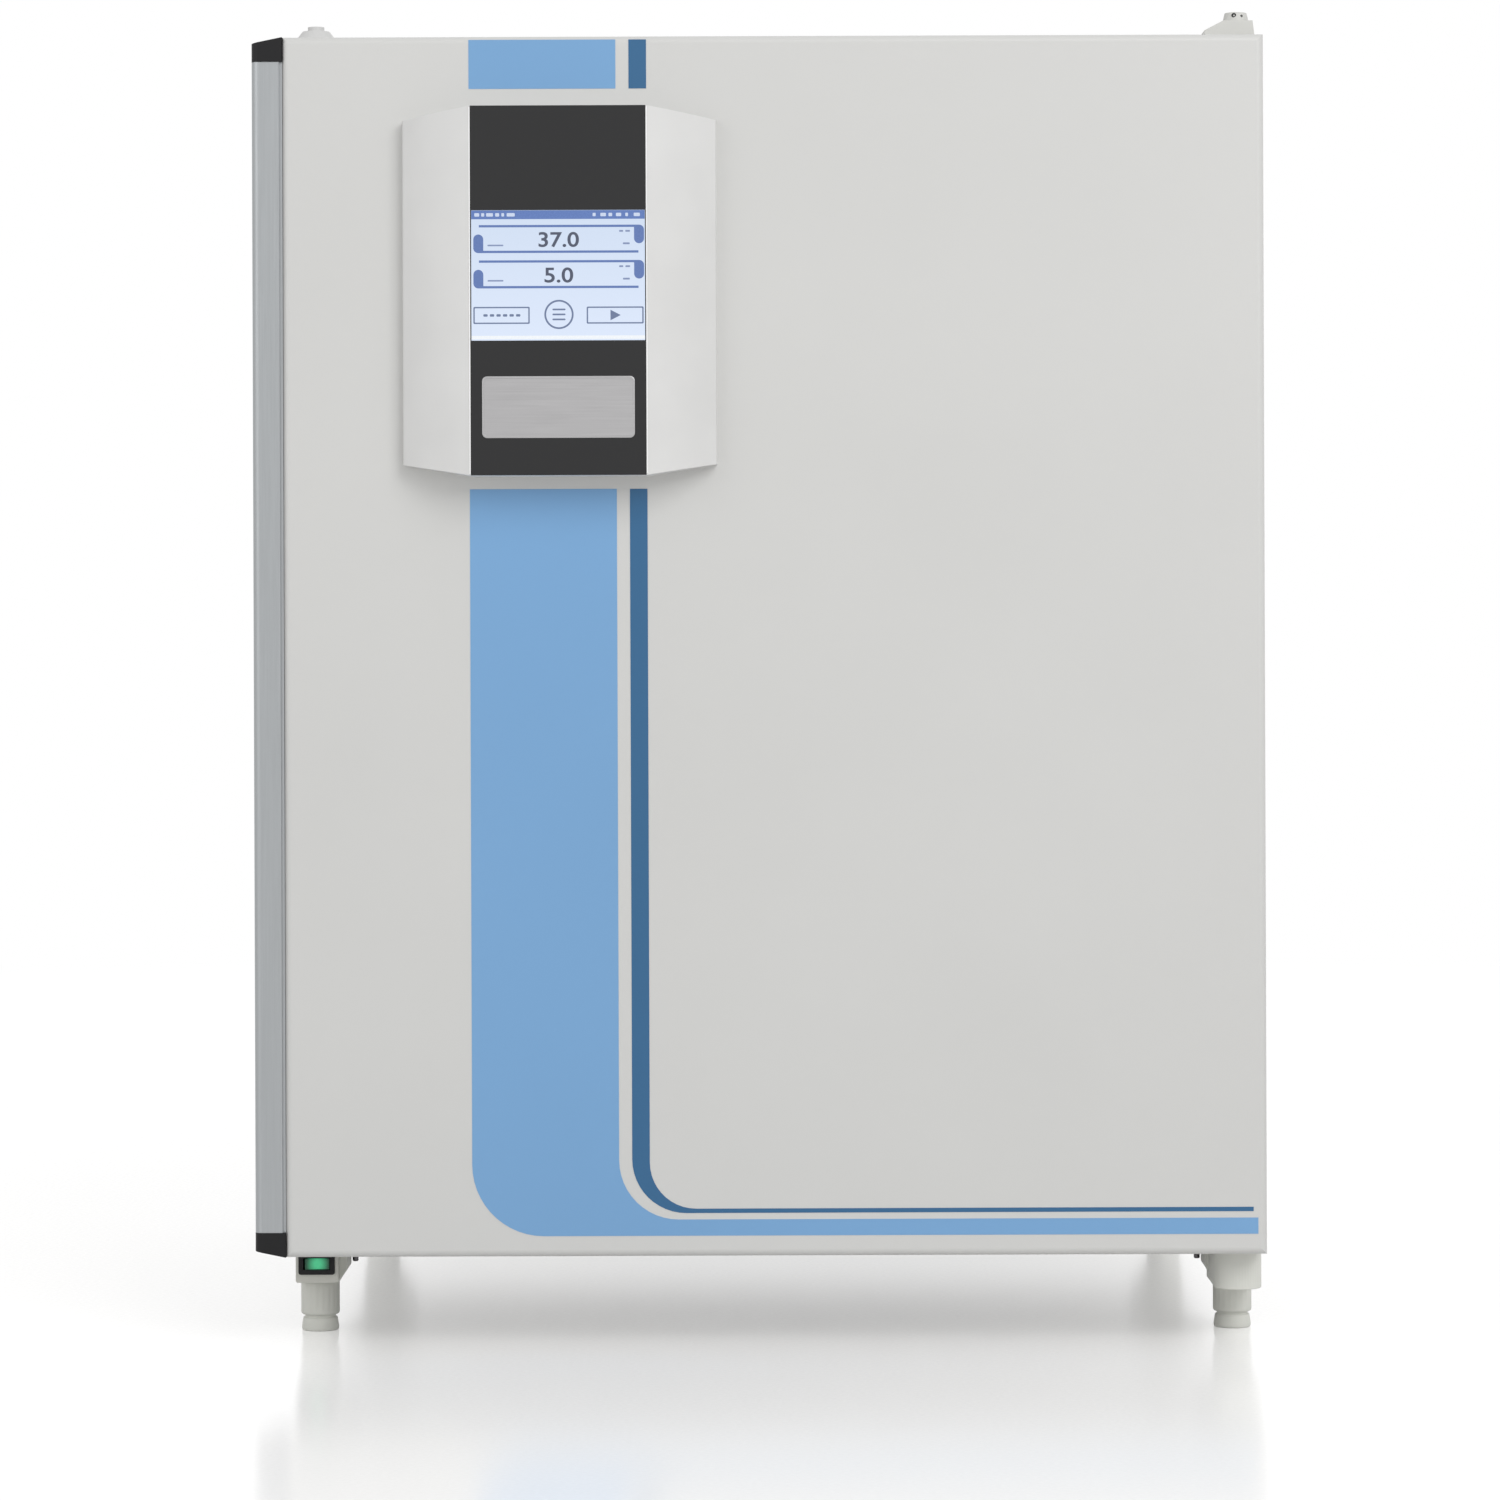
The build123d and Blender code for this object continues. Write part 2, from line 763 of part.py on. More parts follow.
def glass_hinge_brackets():
    """Two brackets on the recess floor, each with an ear above and below its knuckle."""
    brackets = []
    for z in glass_hinge_z:
        reach = glass_knuckle_length / 2 + flat_gap + glass_ear
        z_range = (z - reach, z + reach)
        plate_x = (glass_axis_x, glass_axis_x + glass_bracket_width)
        bracket = block(plate_x, (recess_floor - glass_bracket_sheet, recess_floor), z_range)
        for ear_low in (z - reach, z + reach - glass_ear):
            ear_z = (ear_low, ear_low + glass_ear)
            ear = post(glass_axis_x, glass_axis_y, ear_z, glass_knuckle_radius)
            arm_x = (glass_axis_x, glass_axis_x + glass_knuckle_radius)
            ear += block(arm_x, (glass_axis_y, recess_floor), ear_z)
            bracket += ear
        bore = grown(z_range, past)
        brackets.append(bracket - post(glass_axis_x, glass_axis_y, bore, glass_pin_radius))
    return brackets


def glass_hinge_pins():
    """One pin through each bracket and knuckle."""
    reach = glass_knuckle_length / 2 + flat_gap + glass_ear
    return [post(glass_axis_x, glass_axis_y, (z - reach, z + reach), glass_pin_radius) for z in glass_hinge_z]


def latch_stud():
    """Stud through the glass that the latch lever turns on."""
    stud = spindle(latch_x, middle, (latch_y[0], glass_back), latch_stud_radius - pin_fit)
    collar = spindle(latch_x, middle, (latch_y[1], glass_front), latch_stud_head)
    head_y = (latch_y[0] - latch_stud_head_thickness, latch_y[0])
    return stud + collar + spindle(latch_x, middle, head_y, latch_stud_head)


def latch_lever():
    """Turning lever, drawn unlatched: a quarter turn takes its nose behind the keeper's lip."""
    hub = spindle(latch_x, middle, latch_y, latch_hub_radius)
    half = latch_arm_height / 2
    nose = block((latch_x - latch_reach, latch_x), latch_y, (middle - half, middle + half))
    grip_end = latch_x + latch_hub_radius + latch_grip
    grip = block((latch_x, grip_end), latch_y, (middle - half, middle + half))
    grip = fillet(grip.edges().filter_by(Axis.Y).group_by(Axis.X)[-1], half - flat_gap)
    bore = grown(latch_y, past)
    latched = hub + nose + grip - spindle(latch_x, middle, bore, latch_stud_radius + pin_fit)
    return latched.rotate(Axis((latch_x, 0, middle), (0, 1, 0)), 90)


def latch_keeper():
    """Keeper on the recess floor, whose lip stands in front of the lever's nose."""
    wall_right = latch_x - latch_reach - keeper_side_gap
    wall_x = (wall_right - keeper_wall, wall_right)
    lip_back = latch_y[0] - keeper_lip_gap
    z_range = (middle - keeper_height / 2, middle + keeper_height / 2)
    wall = block(wall_x, (lip_back - keeper_lip_thickness, recess_floor), z_range)
    lip_x = (wall_x[0], wall_x[0] + keeper_lip)
    return wall + block(lip_x, (lip_back - keeper_lip_thickness, lip_back), z_range)


def hinge_hole(radius):
    """Upright holes at the top and bottom of the door for the hinge bushes."""
    low = post(hinge_x, hinge_y, (bottom - past, bottom + bush_length + foam_clearance), radius)
    high = post(hinge_x, hinge_y, (top - bush_length - foam_clearance, top + past), radius)
    return [low, high]


def door_shell():
    """Painted sheet pan of the outer door, open at the back."""
    pan = block(cabinet_x, (0, door_depth), cabinet_z)
    pan = fillet(pan.faces().sort_by(Axis.Y)[0].edges(), door_edge_radius)
    hollow = block(inside_x, (housing_sheet, door_depth + past), inside_z)
    inside = inner_radius(door_edge_radius, housing_sheet)
    hollow = fillet(hollow.faces().sort_by(Axis.Y)[0].edges(), inside)
    return pan - hollow - hinge_hole(bush_radius)


def door_insulation():
    """Foam that fills the door between the shell and the liner."""
    foam = block(
        grown(inside_x, -foam_clearance),
        (housing_sheet + foam_clearance, door_inside),
        grown(inside_z, -foam_clearance),
    )
    inside = inner_radius(door_edge_radius, housing_sheet)
    foam = fillet(foam.faces().sort_by(Axis.Y)[0].edges(), inside)
    return foam - hinge_hole(bush_radius + foam_clearance)


gasket_x = grown(cabinet_x, -gasket_inset)
gasket_z = grown(cabinet_z, -gasket_inset)
field_x = grown(gasket_x, -gasket_width - gasket_corner)
field_z = grown(gasket_z, -gasket_width - gasket_corner)


def door_liner():
    """Inner panel of the door, pressed in at its middle to leave room for the glass door."""
    panel = block(inside_x, (liner_back - liner_sheet, liner_back), inside_z)
    panel += rounded_slab(field_x, (door_inside, liner_back), field_z, chamber_corner)
    pressed = rounded_slab(
        grown(field_x, -liner_sheet),
        (liner_floor, liner_back + past),
        grown(field_z, -liner_sheet),
        chamber_corner - liner_sheet,
    )
    return panel - pressed


def door_gasket():
    """Magnetic profile round the liner, which closes on the front frame."""
    gasket_y = (liner_back, front - flat_gap)
    ring = rounded_slab(gasket_x, gasket_y, gasket_z, gasket_corner)
    inner_x = grown(gasket_x, -gasket_width)
    inner_z = grown(gasket_z, -gasket_width)
    hole = rounded_slab(inner_x, grown(gasket_y, past), inner_z, gasket_corner / 2)
    ring -= hole
    groove_inset = gasket_width / 2 - handle_groove / 2
    groove = rounded_slab(
        grown(gasket_x, -groove_inset), (gasket_y[1] - handle_groove, gasket_y[1] + past),
        grown(gasket_z, -groove_inset), gasket_corner / 2,
    )
    groove_core_inset = gasket_width / 2 + handle_groove / 2
    groove -= rounded_slab(
        grown(gasket_x, -groove_core_inset), (liner_back - past, gasket_y[1] + 2 * past),
        grown(gasket_z, -groove_core_inset), gasket_corner / 2,
    )
    return ring - groove


def handle_section():
    """Plan of the handle: web on the door, face to the front, lip turned back at the outside."""
    web = left - handle_web
    face_back = handle_front + handle_face
    lip_back = face_back + handle_lip
    groove = left - handle_groove
    groove_y = handle_front + handle_groove
    points = [
        (left, groove_y),
        (groove, groove_y),
        (groove, handle_front),
        (handle_left, handle_front),
        (handle_left, lip_back),
        (handle_left + handle_lip_wall, lip_back),
        (handle_left + handle_lip_wall, face_back),
        (web, face_back),
        (web, handle_front + handle_reach),
        (left, handle_front + handle_reach),
    ]
    section = Polygon(*points, align=None)
    nose = section.vertices().group_by(Axis.X)[0].sort_by(Axis.Y)[0]
    section = fillet(nose, handle_nose_radius)
    bends = section.vertices().filter_by(lambda v: abs(v.Y - face_back) < past / 100)
    return fillet(bends, handle_lip_wall / 2)


def handle_profile():
    """Extruded aluminium handle between its two caps."""
    section = handle_section()
    length = cabinet_height - 2 * cap_height
    return Pos(0, 0, bottom + cap_height) * extrude(section, amount=length, dir=(0, 0, 1))


def handle_caps():
    """Moulded caps that fill the ends of the handle and slope towards it at the outside."""
    face_back = handle_front + handle_face
    cap_front = handle_front - cap_rear_step / 2
    points = [
        (left, cap_front),
        (handle_left, cap_front),
        (handle_left, face_back + handle_lip + cap_rear_step),
        (left - handle_web - cap_rear_step, handle_front + handle_reach + cap_rear_step),
        (left, handle_front + handle_reach + cap_rear_step),
    ]
    section = Polygon(*points, align=None)
    nose = section.vertices().group_by(Axis.X)[0].sort_by(Axis.Y)[0]
    section = fillet(nose, handle_nose_radius)
    cap = Pos(0, 0, top - cap_height) * extrude(section, amount=cap_height, dir=(0, 0, 1))
    wedge_points = [
        (left, top),
        (handle_left, top - cap_taper),
        (handle_left - past, top - cap_taper * (handle_width + past) / handle_width),
        (handle_left - past, top + past),
        (left, top + past),
    ]
    depth = (cap_front - past, handle_front + handle_reach + cap_rear_step + past)
    cap -= wall_prism(wedge_points, depth)
    return [cap, mirror(cap, about=Plane.XY.offset(middle))]


def bent_stripe(x_range, high, low, band, end, outer_radius, inner_radius_value):
    """A foil that comes down the door and turns to the right into a narrower band."""
    x0, x1 = x_range
    points = [(x0, high), (x0, low), (end, low), (end, low + band), (x1, low + band), (x1, high)]
    outline = Polygon(*points, align=None)
    outer = outline.vertices().sort_by_distance((x0, low, 0))[0]
    outline = fillet(outer, outer_radius)
    inner = outline.vertices().sort_by_distance((x1, low + band, 0))[0]
    outline = fillet(inner, inner_radius_value)
    return extrude(Plane.XZ * outline, amount=foil, dir=(0, -1, 0))


light_x = (panel_center_x - light_offset, panel_center_x - light_offset + light_width)
dark_x = (light_x[1] + dark_gap, light_x[1] + dark_gap + dark_width)
upper_foil_z = (panel_high + upper_foil_gap, top - upper_foil_inset)
lower_foil_high = panel_low - lower_foil_gap
light_band_low = bottom + light_band_rise
dark_line_low = light_band_low + light_band_height + dark_line_gap


def stripe_light():
    """Broad light stripe above and below the control panel."""
    upper = block(light_x, (-foil, 0), upper_foil_z)
    end = right - band_end_inset
    lower = bent_stripe(
        light_x, lower_foil_high, light_band_low, light_band_height, end,
        light_outer_radius, light_inner_radius,
    )
    return [upper, lower]


def stripe_dark():
    """Narrow dark stripe beside the light one, which thins out along the bottom."""
    upper = block(dark_x, (-foil, 0), upper_foil_z)
    end = right - dark_end_inset
    lower = bent_stripe(
        dark_x, lower_foil_high, dark_line_low, dark_line_height, end,
        dark_outer_radius, dark_inner_radius,
    )
    return [upper, lower]


def swept_housing(inset, rear):
    """The control panel's form: a plan with two bowed wings, cut to its front outline."""
    x0 = panel_left + inset
    x1 = panel_right - inset
    wing0 = fascia_left + inset / 2
    wing1 = fascia_right - inset / 2
    edge = -(panel_edge_proud - inset)
    crest = -(panel_proud - inset)
    length = math.hypot(wing0 - x0, crest - edge)
    bow_x = panel_bulge * (crest - edge) / length
    bow_y = -panel_bulge * (wing0 - x0) / length
    middle_y = (edge + crest) / 2
    left_bow = ((x0 + wing0) / 2 + bow_x, middle_y + bow_y)
    right_bow = ((x1 + wing1) / 2 - bow_x, middle_y + bow_y)
    rim = [
        Line((x1, rear), (x0, rear)),
        Line((x0, rear), (x0, edge)),
        ThreePointArc((x0, edge), left_bow, (wing0, crest)),
        Line((wing0, crest), (wing1, crest)),
        ThreePointArc((wing1, crest), right_bow, (x1, edge)),
        Line((x1, edge), (x1, rear)),
    ]
    plan = make_face(Curve() + rim)
    corners = plan.vertices().filter_by(lambda v: abs(v.Y - edge) < past / 100)
    plan = fillet(corners, max(panel_edge_radius - inset / 2, panel_edge_radius / 3))
    low = panel_low + inset
    high = panel_high - inset
    body = Pos(0, 0, low) * extrude(plan, amount=high - low, dir=(0, 0, 1))
    outline = [
        (x0, low + panel_shoulder),
        (wing0, low),
        (wing1, low),
        (x1, low + panel_shoulder),
        (x1, high - panel_shoulder),
        (wing1, high),
        (wing0, high),
        (x0, high - panel_shoulder),
    ]
    return body & wall_prism(outline, (crest - past, rear + past))


screen_x = (fascia_left + screen_margin, fascia_right - screen_margin)
screen_z = (panel_high - screen_drop - screen_height, panel_high - screen_drop)


def control_housing():
    """Moulded shell of the control panel, with a seat for the fascia and a window for the screen."""
    room = swept_housing(panel_wall, past)
    seat = block(
        (fascia_left, fascia_right), (-panel_proud - past, fascia_back), grown((panel_low, panel_high), past)
    )
    window = block(
        grown(screen_x, screen_clearance), (-panel_proud - past, 0), grown(screen_z, screen_clearance)
    )
    return swept_housing(0, 0) - room - seat - window


def control_fascia():
    """Black front plate with the window of the screen."""
    plate = block((fascia_left, fascia_right), (fascia_front, fascia_back), (panel_low, panel_high))
    window = block(
        grown(screen_x, screen_clearance),
        grown((fascia_front, fascia_back), past),
        grown(screen_z, screen_clearance),
    )
    return plate - window


def touch_screen():
    """Display module, flush with the fascia."""
    return block(screen_x, (fascia_front, fascia_front + screen_thickness), screen_z)


def name_plate():
    """Blank metal plate on the fascia."""
    plate_x = (panel_center_x - plate_width / 2, panel_center_x + plate_width / 2)
    plate_z = (panel_low + plate_rise, panel_low + plate_rise + plate_height)
    return rounded_slab(plate_x, (fascia_front - plate_thickness, fascia_front), plate_z, plate_radius)


pin_cap_top = top + bush_flange + arm_thickness + arm_boss_height / 2


def hinge_arm():
    """Upper hinge: a plate screwed to the cabinet's top and an arm over the door with a capped boss."""
    seat = top + bush_flange
    arm_x = (right - arm_width, right - flat_gap)
    arm_y = (hinge_y - arm_front_margin, front + arm_front_margin / 2)
    arm = block(arm_x, arm_y, (seat, seat + arm_thickness))
    arm = fillet(arm.edges().filter_by(Axis.Z).group_by(Axis.Y)[0], arm_front_margin / 2)
    plate_x = (arm_x[0] - hinge_plate_width, arm_x[0] + housing_edge_radius)
    plate_y = (front, front + hinge_plate_length)
    plate = block(plate_x, plate_y, (top, seat + arm_thickness / 2))
    arm += plate
    arm += block(
        (arm_x[0], arm_x[1] - housing_edge_radius), (front, arm_y[1]), (top, seat + arm_thickness / 2)
    )
    boss = Pos(hinge_x, hinge_y, seat + arm_thickness + arm_boss_height / 2) * Cone(
        arm_boss_radius, arm_boss_top_radius, arm_boss_height
    )
    arm += boss
    arm -= post(hinge_x, hinge_y, (seat - past, pin_cap_top - pin_fit), pin_radius)
    socket_z = (pin_cap_top, seat + arm_thickness + arm_boss_height + past)
    return arm - post(hinge_x, hinge_y, socket_z, arm_socket_radius)


def hinge_pins():
    """Steel pins of the outer door, fixed in the upper arm and in the lower block."""
    upper = post(hinge_x, hinge_y, (top - pin_engagement, pin_cap_top - pin_fit), pin_radius)
    lower_seat = bottom - bush_flange - pin_engagement + block_lower_radius
    lower = post(hinge_x, hinge_y, (lower_seat, bottom + pin_engagement), pin_radius)
    return [upper, lower]


def hinge_bushes():
    """Flanged bushes in the door that turn on the pins and carry its weight."""
    lower = post(hinge_x, hinge_y, (bottom, bottom + bush_length), bush_radius)
    lower += post(hinge_x, hinge_y, (bottom - bush_flange, bottom), bush_flange_radius)
    upper = post(hinge_x, hinge_y, (top - bush_length, top), bush_radius)
    upper += post(hinge_x, hinge_y, (top, top + bush_flange), bush_flange_radius)
    bore = grown((bottom - bush_flange, top + bush_flange), past)
    pin = post(hinge_x, hinge_y, bore, pin_radius + pin_fit)
    return [lower - pin, upper - pin]


def foot_bore(x, y):
    """Blind hole for the spindle of a foot."""
    return post(x, y, (block_bottom - past, block_bottom + spindle_length + flat_gap), spindle_radius + pin_fit)


def foot_block(x_side, y):
    """Moulded block under a corner that takes the spindle of a foot."""
    outer = x_side * right
    inner = x_side * (right - block_width)
    y_range = (y - block_length / 2, y + block_length / 2)
    body = block(sorted((outer, inner)), y_range, (block_bottom, bottom))
    body = fillet(body.edges().filter_by(Axis.Z), block_corner)
    body = fillet(body.faces().sort_by(Axis.Z)[0].edges(), block_lower_radius)
    return body - foot_bore(x_side * foot_x, y)


def hinge_block():
    """Right front foot block, which runs forward under the door to carry the lower hinge pin."""
    x_range = (right - hinge_block_width, right)
    y_range = (hinge_y - arm_front_margin, foot_front_y + block_length / 2)
    body = block(x_range, y_range, (block_bottom, bottom))
    body = fillet(body.edges().filter_by(Axis.Z), block_corner)
    body = fillet(body.faces().sort_by(Axis.Z)[0].edges(), block_lower_radius)
    body -= block(grown(x_range, past), (y_range[0] - past, front), (bottom - bush_flange, bottom + past))
    pin_low = bottom - bush_flange - pin_engagement + block_lower_radius
    body -= post(hinge_x, hinge_y, (pin_low, bottom + past), pin_radius)
    return body - foot_bore(foot_x, foot_front_y)


def levelling_foot(x, y):
    """Turned foot: pad, neck, grip cylinder and threaded spindle in one profile."""
    neck_low = foot_pad_height
    neck_high = foot_pad_height + foot_neck_height
    grip_high = block_bottom - foot_gap
    bevel = foot_neck_height / 2
    profile = [
        (0, 0),
        (foot_pad_radius - bevel, 0),
        (foot_pad_radius, bevel),
        (foot_pad_radius, neck_low),
        (foot_neck_radius, neck_low),
        (foot_neck_radius, neck_high),
        (foot_radius, neck_high + bevel),
        (foot_radius, grip_high),
        (spindle_radius, grip_high),
        (spindle_radius, block_bottom + spindle_length),
        (0, block_bottom + spindle_length),
    ]
    return Pos(x, y, 0) * revolve(Plane.XZ * Polygon(*profile, align=None), axis=Axis.Z)


def stacking_pads():
    """Four turned pads on the top, each with a knob that centres the foot of a second cabinet."""
    profile = [
        (0, 0),
        (stack_pad_radius, 0),
        (stack_pad_radius, stack_pad_rim),
        (stack_pad_shoulder_radius, stack_pad_shoulder),
        (stack_pad_knob_radius, stack_pad_shoulder),
        (stack_pad_knob_radius, stack_pad_height),
        (0, stack_pad_height),
    ]
    pad = revolve(Plane.XZ * Polygon(*profile, align=None), axis=Axis.Z)
    return [Pos(x, y, top) * pad for x in (-foot_x, foot_x) for y in (foot_front_y, foot_rear_y)]


switch_front = foot_front_y - block_length / 2 - switch_box_depth
switch_x = -foot_x + bezel_flange / 4
switch_z = bottom - bezel_flange * 2 - bezel_height / 2 - bezel_drop
switch_body_x = (
    switch_x - bezel_width / 2 + bezel_flange,
    switch_x + bezel_width / 2 - bezel_flange,
)
switch_body_z = (
    switch_z - bezel_height / 2 + bezel_flange,
    switch_z + bezel_height / 2 - bezel_flange,
)
rocker_x = grown(switch_body_x, -bezel_wall)
rocker_z = grown(switch_body_z, -bezel_wall)
rocker_y = switch_front - bezel_flange + rocker_pivot_depth


def switch_box():
    """Small housing in front of the left foot block, open where the switch is let in."""
    x_range = (switch_x - switch_box_width / 2, switch_x + switch_box_width / 2)
    box = block(x_range, (switch_front, switch_front + switch_box_depth), (bottom - switch_box_height, bottom))
    lower_edges = box.edges().filter_by(Axis.Y).group_by(Axis.Z)[0]
    box = fillet(lower_edges, bezel_flange)
    hole_y = (switch_front - past, switch_front + bezel_body_depth)
    return box - block(switch_body_x, hole_y, switch_body_z)


def switch_body():
    """Snap-in switch body with its bezel."""
    bezel = rounded_slab(
        (switch_x - bezel_width / 2, switch_x + bezel_width / 2),
        (switch_front - bezel_flange, switch_front),
        (switch_z - bezel_height / 2, switch_z + bezel_height / 2),
        bezel_flange,
    )
    body = bezel + block(switch_body_x, (switch_front, switch_front + bezel_body_depth), switch_body_z)
    well_y = (switch_front - bezel_flange - past, rocker_y + rocker_root + 2 * rocker_clearance)
    return body - block(rocker_x, well_y, rocker_z)


def switch_rocker():
    """Rocker with two slanted faces, tipped to its on side."""
    half = (rocker_x[1] - rocker_x[0]) / 2 - 2 * rocker_clearance
    crest = -rocker_pivot_depth + rocker_bulge / 2
    points = [
        (-half, crest - rocker_bulge),
        (0, crest),
        (half, crest - rocker_bulge),
        (half, crest + 2 * rocker_bulge),
        (rocker_root / 2, rocker_root),
        (-rocker_root / 2, rocker_root),
        (-half, crest + 2 * rocker_bulge),
    ]
    z0 = rocker_z[0] + rocker_clearance
    z1 = rocker_z[1] - rocker_clearance
    body = extrude(Polygon(*points, align=None), amount=z1 - z0, dir=(0, 0, 1))
    return Pos(switch_x, rocker_y, z0) * Rot(0, 0, rocker_tilt) * body


def rear_cover():
    """Sheet cover of the electrics on the back, with louvres in its rear face."""
    cover_x = grown(cabinet_x, -rear_cover_side_margin)
    cover_z = (rear_cover_low, rear_cover_high)
    cover = block(cover_x, (back, highest_y), cover_z)
    cover = fillet(cover.faces().sort_by(Axis.Y)[-1].edges(), rear_cover_radius)
    room = block(
        grown(cover_x, -rear_cover_sheet),
        (back - past, highest_y - rear_cover_sheet),
        grown(cover_z, -rear_cover_sheet),
    )
    inside = inner_radius(rear_cover_radius, rear_cover_sheet)
    cover -= fillet(room.faces().sort_by(Axis.Y)[-1].edges(), inside)
    louvre_middle = (rear_cover_low + rear_cover_high) / 2
    for x in (-louvre_offset, louvre_offset):
        for row in range(louvre_rows):
            z = louvre_middle + (row - (louvre_rows - 1) / 2) * louvre_pitch
            cover -= block(
                (x - louvre_width / 2, x + louvre_width / 2),
                grown((highest_y - rear_cover_sheet, highest_y), past),
                (z - louvre_height / 2, z + louvre_height / 2),
            )
    return cover


def mains_inlet():
    """Appliance inlet with three blades in its cavity."""
    y_range = (back, back + inlet_depth)
    body = rounded_slab(
        (inlet_offset - inlet_width / 2, inlet_offset + inlet_width / 2),
        y_range,
        (service_height - inlet_height / 2, service_height + inlet_height / 2),
        rear_cover_radius,
    )
    cavity_floor = y_range[1] - inlet_cavity_depth
    body -= block(
        (inlet_offset - inlet_cavity_width / 2, inlet_offset + inlet_cavity_width / 2),
        (cavity_floor, y_range[1] + past),
        (service_height - inlet_cavity_height / 2, service_height + inlet_cavity_height / 2),
    )
    blade_y = (cavity_floor, cavity_floor + inlet_blade_length)
    side = inlet_cavity_width / 2 - inlet_blade_width
    places = [(-side, -inlet_blade_width), (0, 0), (side, -inlet_blade_width)]
    for dx, dz in places:
        x = inlet_offset + dx
        z = service_height + dz
        body += block(
            (x - inlet_blade / 2, x + inlet_blade / 2),
            blade_y,
            (z - inlet_blade_width / 2, z + inlet_blade_width / 2),
        )
    return body


def gas_inlets():
    """Two hose nipples on hexagon bodies."""
    inlets = []
    for side in (-0.5, 0.5):
        x = nipple_offset + side * nipple_pitch
        hexagon = Plane.XZ * RegularPolygon(nipple_hex, 6)
        root = Pos(x, back + nipple_hex_depth, service_height) * extrude(hexagon, amount=nipple_hex_depth)
        stem_y = (back + nipple_hex_depth, back + nipple_hex_depth + nipple_length)
        inlets.append(root + spindle(x, service_height, stem_y, nipple_radius))
    return inlets


def data_sockets():
    """Two socket shells for data and the alarm contact, with shallow recesses."""
    sockets = []
    for n in range(2):
        x = socket_offset + n * socket_pitch
        x_range = (x - socket_width / 2, x + socket_width / 2)
        z_range = (service_height - socket_height / 2, service_height + socket_height / 2)
        shell = rounded_slab(x_range, (back, back + socket_depth), z_range, socket_recess)
        recess_y = (back + socket_depth - socket_recess, back + socket_depth + past)
        sockets.append(
            shell - rounded_slab(
                grown(x_range, -socket_recess), recess_y, grown(z_range, -socket_recess), socket_corner
            )
        )
    return sockets


def access_sleeve():
    """Tube through the rear wall for cables, with a flange and a stub outside."""
    outer = port_radius + port_wall
    tube = spindle(port_offset, port_height, (chamber_back, back + port_stub), outer)
    tube += spindle(port_offset, port_height, (back, back + port_flange), port_flange_radius)
    bore = grown((chamber_back, back + port_stub), past)
    return tube - spindle(port_offset, port_height, bore, port_radius)


def access_plug():
    """Silicone plug of the access port, with a head to pull it by."""
    stub_end = back + port_stub
    body = spindle(port_offset, port_height, (stub_end - plug_depth, stub_end), port_radius - plug_clearance)
    head = spindle(
        port_offset, port_height, (stub_end + flat_gap, stub_end + flat_gap + plug_head), plug_head_radius
    )
    head = chamfer(head.edges().group_by(Axis.Y)[-1], plug_head / 4)
    neck = spindle(port_offset, port_height, (stub_end, stub_end + flat_gap), port_radius - plug_clearance)
    return body + neck + head


def pressure_vent():
    """Vent tube through the rear wall with a slotted cap outside."""
    tube = spindle(vent_offset, vent_height, (chamber_back, back), vent_tube_radius)
    cap = spindle(vent_offset, vent_height, (back, back + vent_cap), vent_cap_radius)
    cap = chamfer(cap.edges().group_by(Axis.Y)[-1], vent_cap / 4)
    bore = spindle(vent_offset, vent_height, (chamber_back - past, back + vent_cap / 2), vent_bore_radius)
    vent = tube + cap - bore
    slot_y = (back + vent_cap / 4, back + vent_cap / 2)
    half = vent_bore_radius / 2
    vent -= block(
        grown((vent_offset - vent_cap_radius, vent_offset + vent_cap_radius), past),
        slot_y,
        (vent_height - half, vent_height + half),
    )
    return vent


def pan_head(x, z):
    """The head of a screw on the rear panel."""
    head = spindle(x, z, (back, back + screw_head_height), screw_head_radius)
    return chamfer(head.edges().group_by(Axis.Y)[-1], screw_head_height / 3)


def screws():
    """Screws of the rear panel's edges and of the upper hinge plate."""
    heads = []
    inset = 4 * screw_head_radius
    pitch = (cabinet_height - 2 * inset) / (panel_screw_rows - 1)
    for x in (left + inset, right - inset):
        for row in range(panel_screw_rows):
            heads.append(pan_head(x, bottom + inset + row * pitch))
    plate_left = right - arm_width - hinge_plate_width
    seat = top + bush_flange + arm_thickness / 2
    for dx in (0, hinge_screw_pitch):
        for dy in (0, hinge_screw_pitch):
            x = plate_left + hinge_screw_pitch / 2 + dx
            y = front + hinge_screw_pitch / 2 + dy
            heads.append(post(x, y, (seat, seat + screw_head_height), screw_head_radius))
    return heads


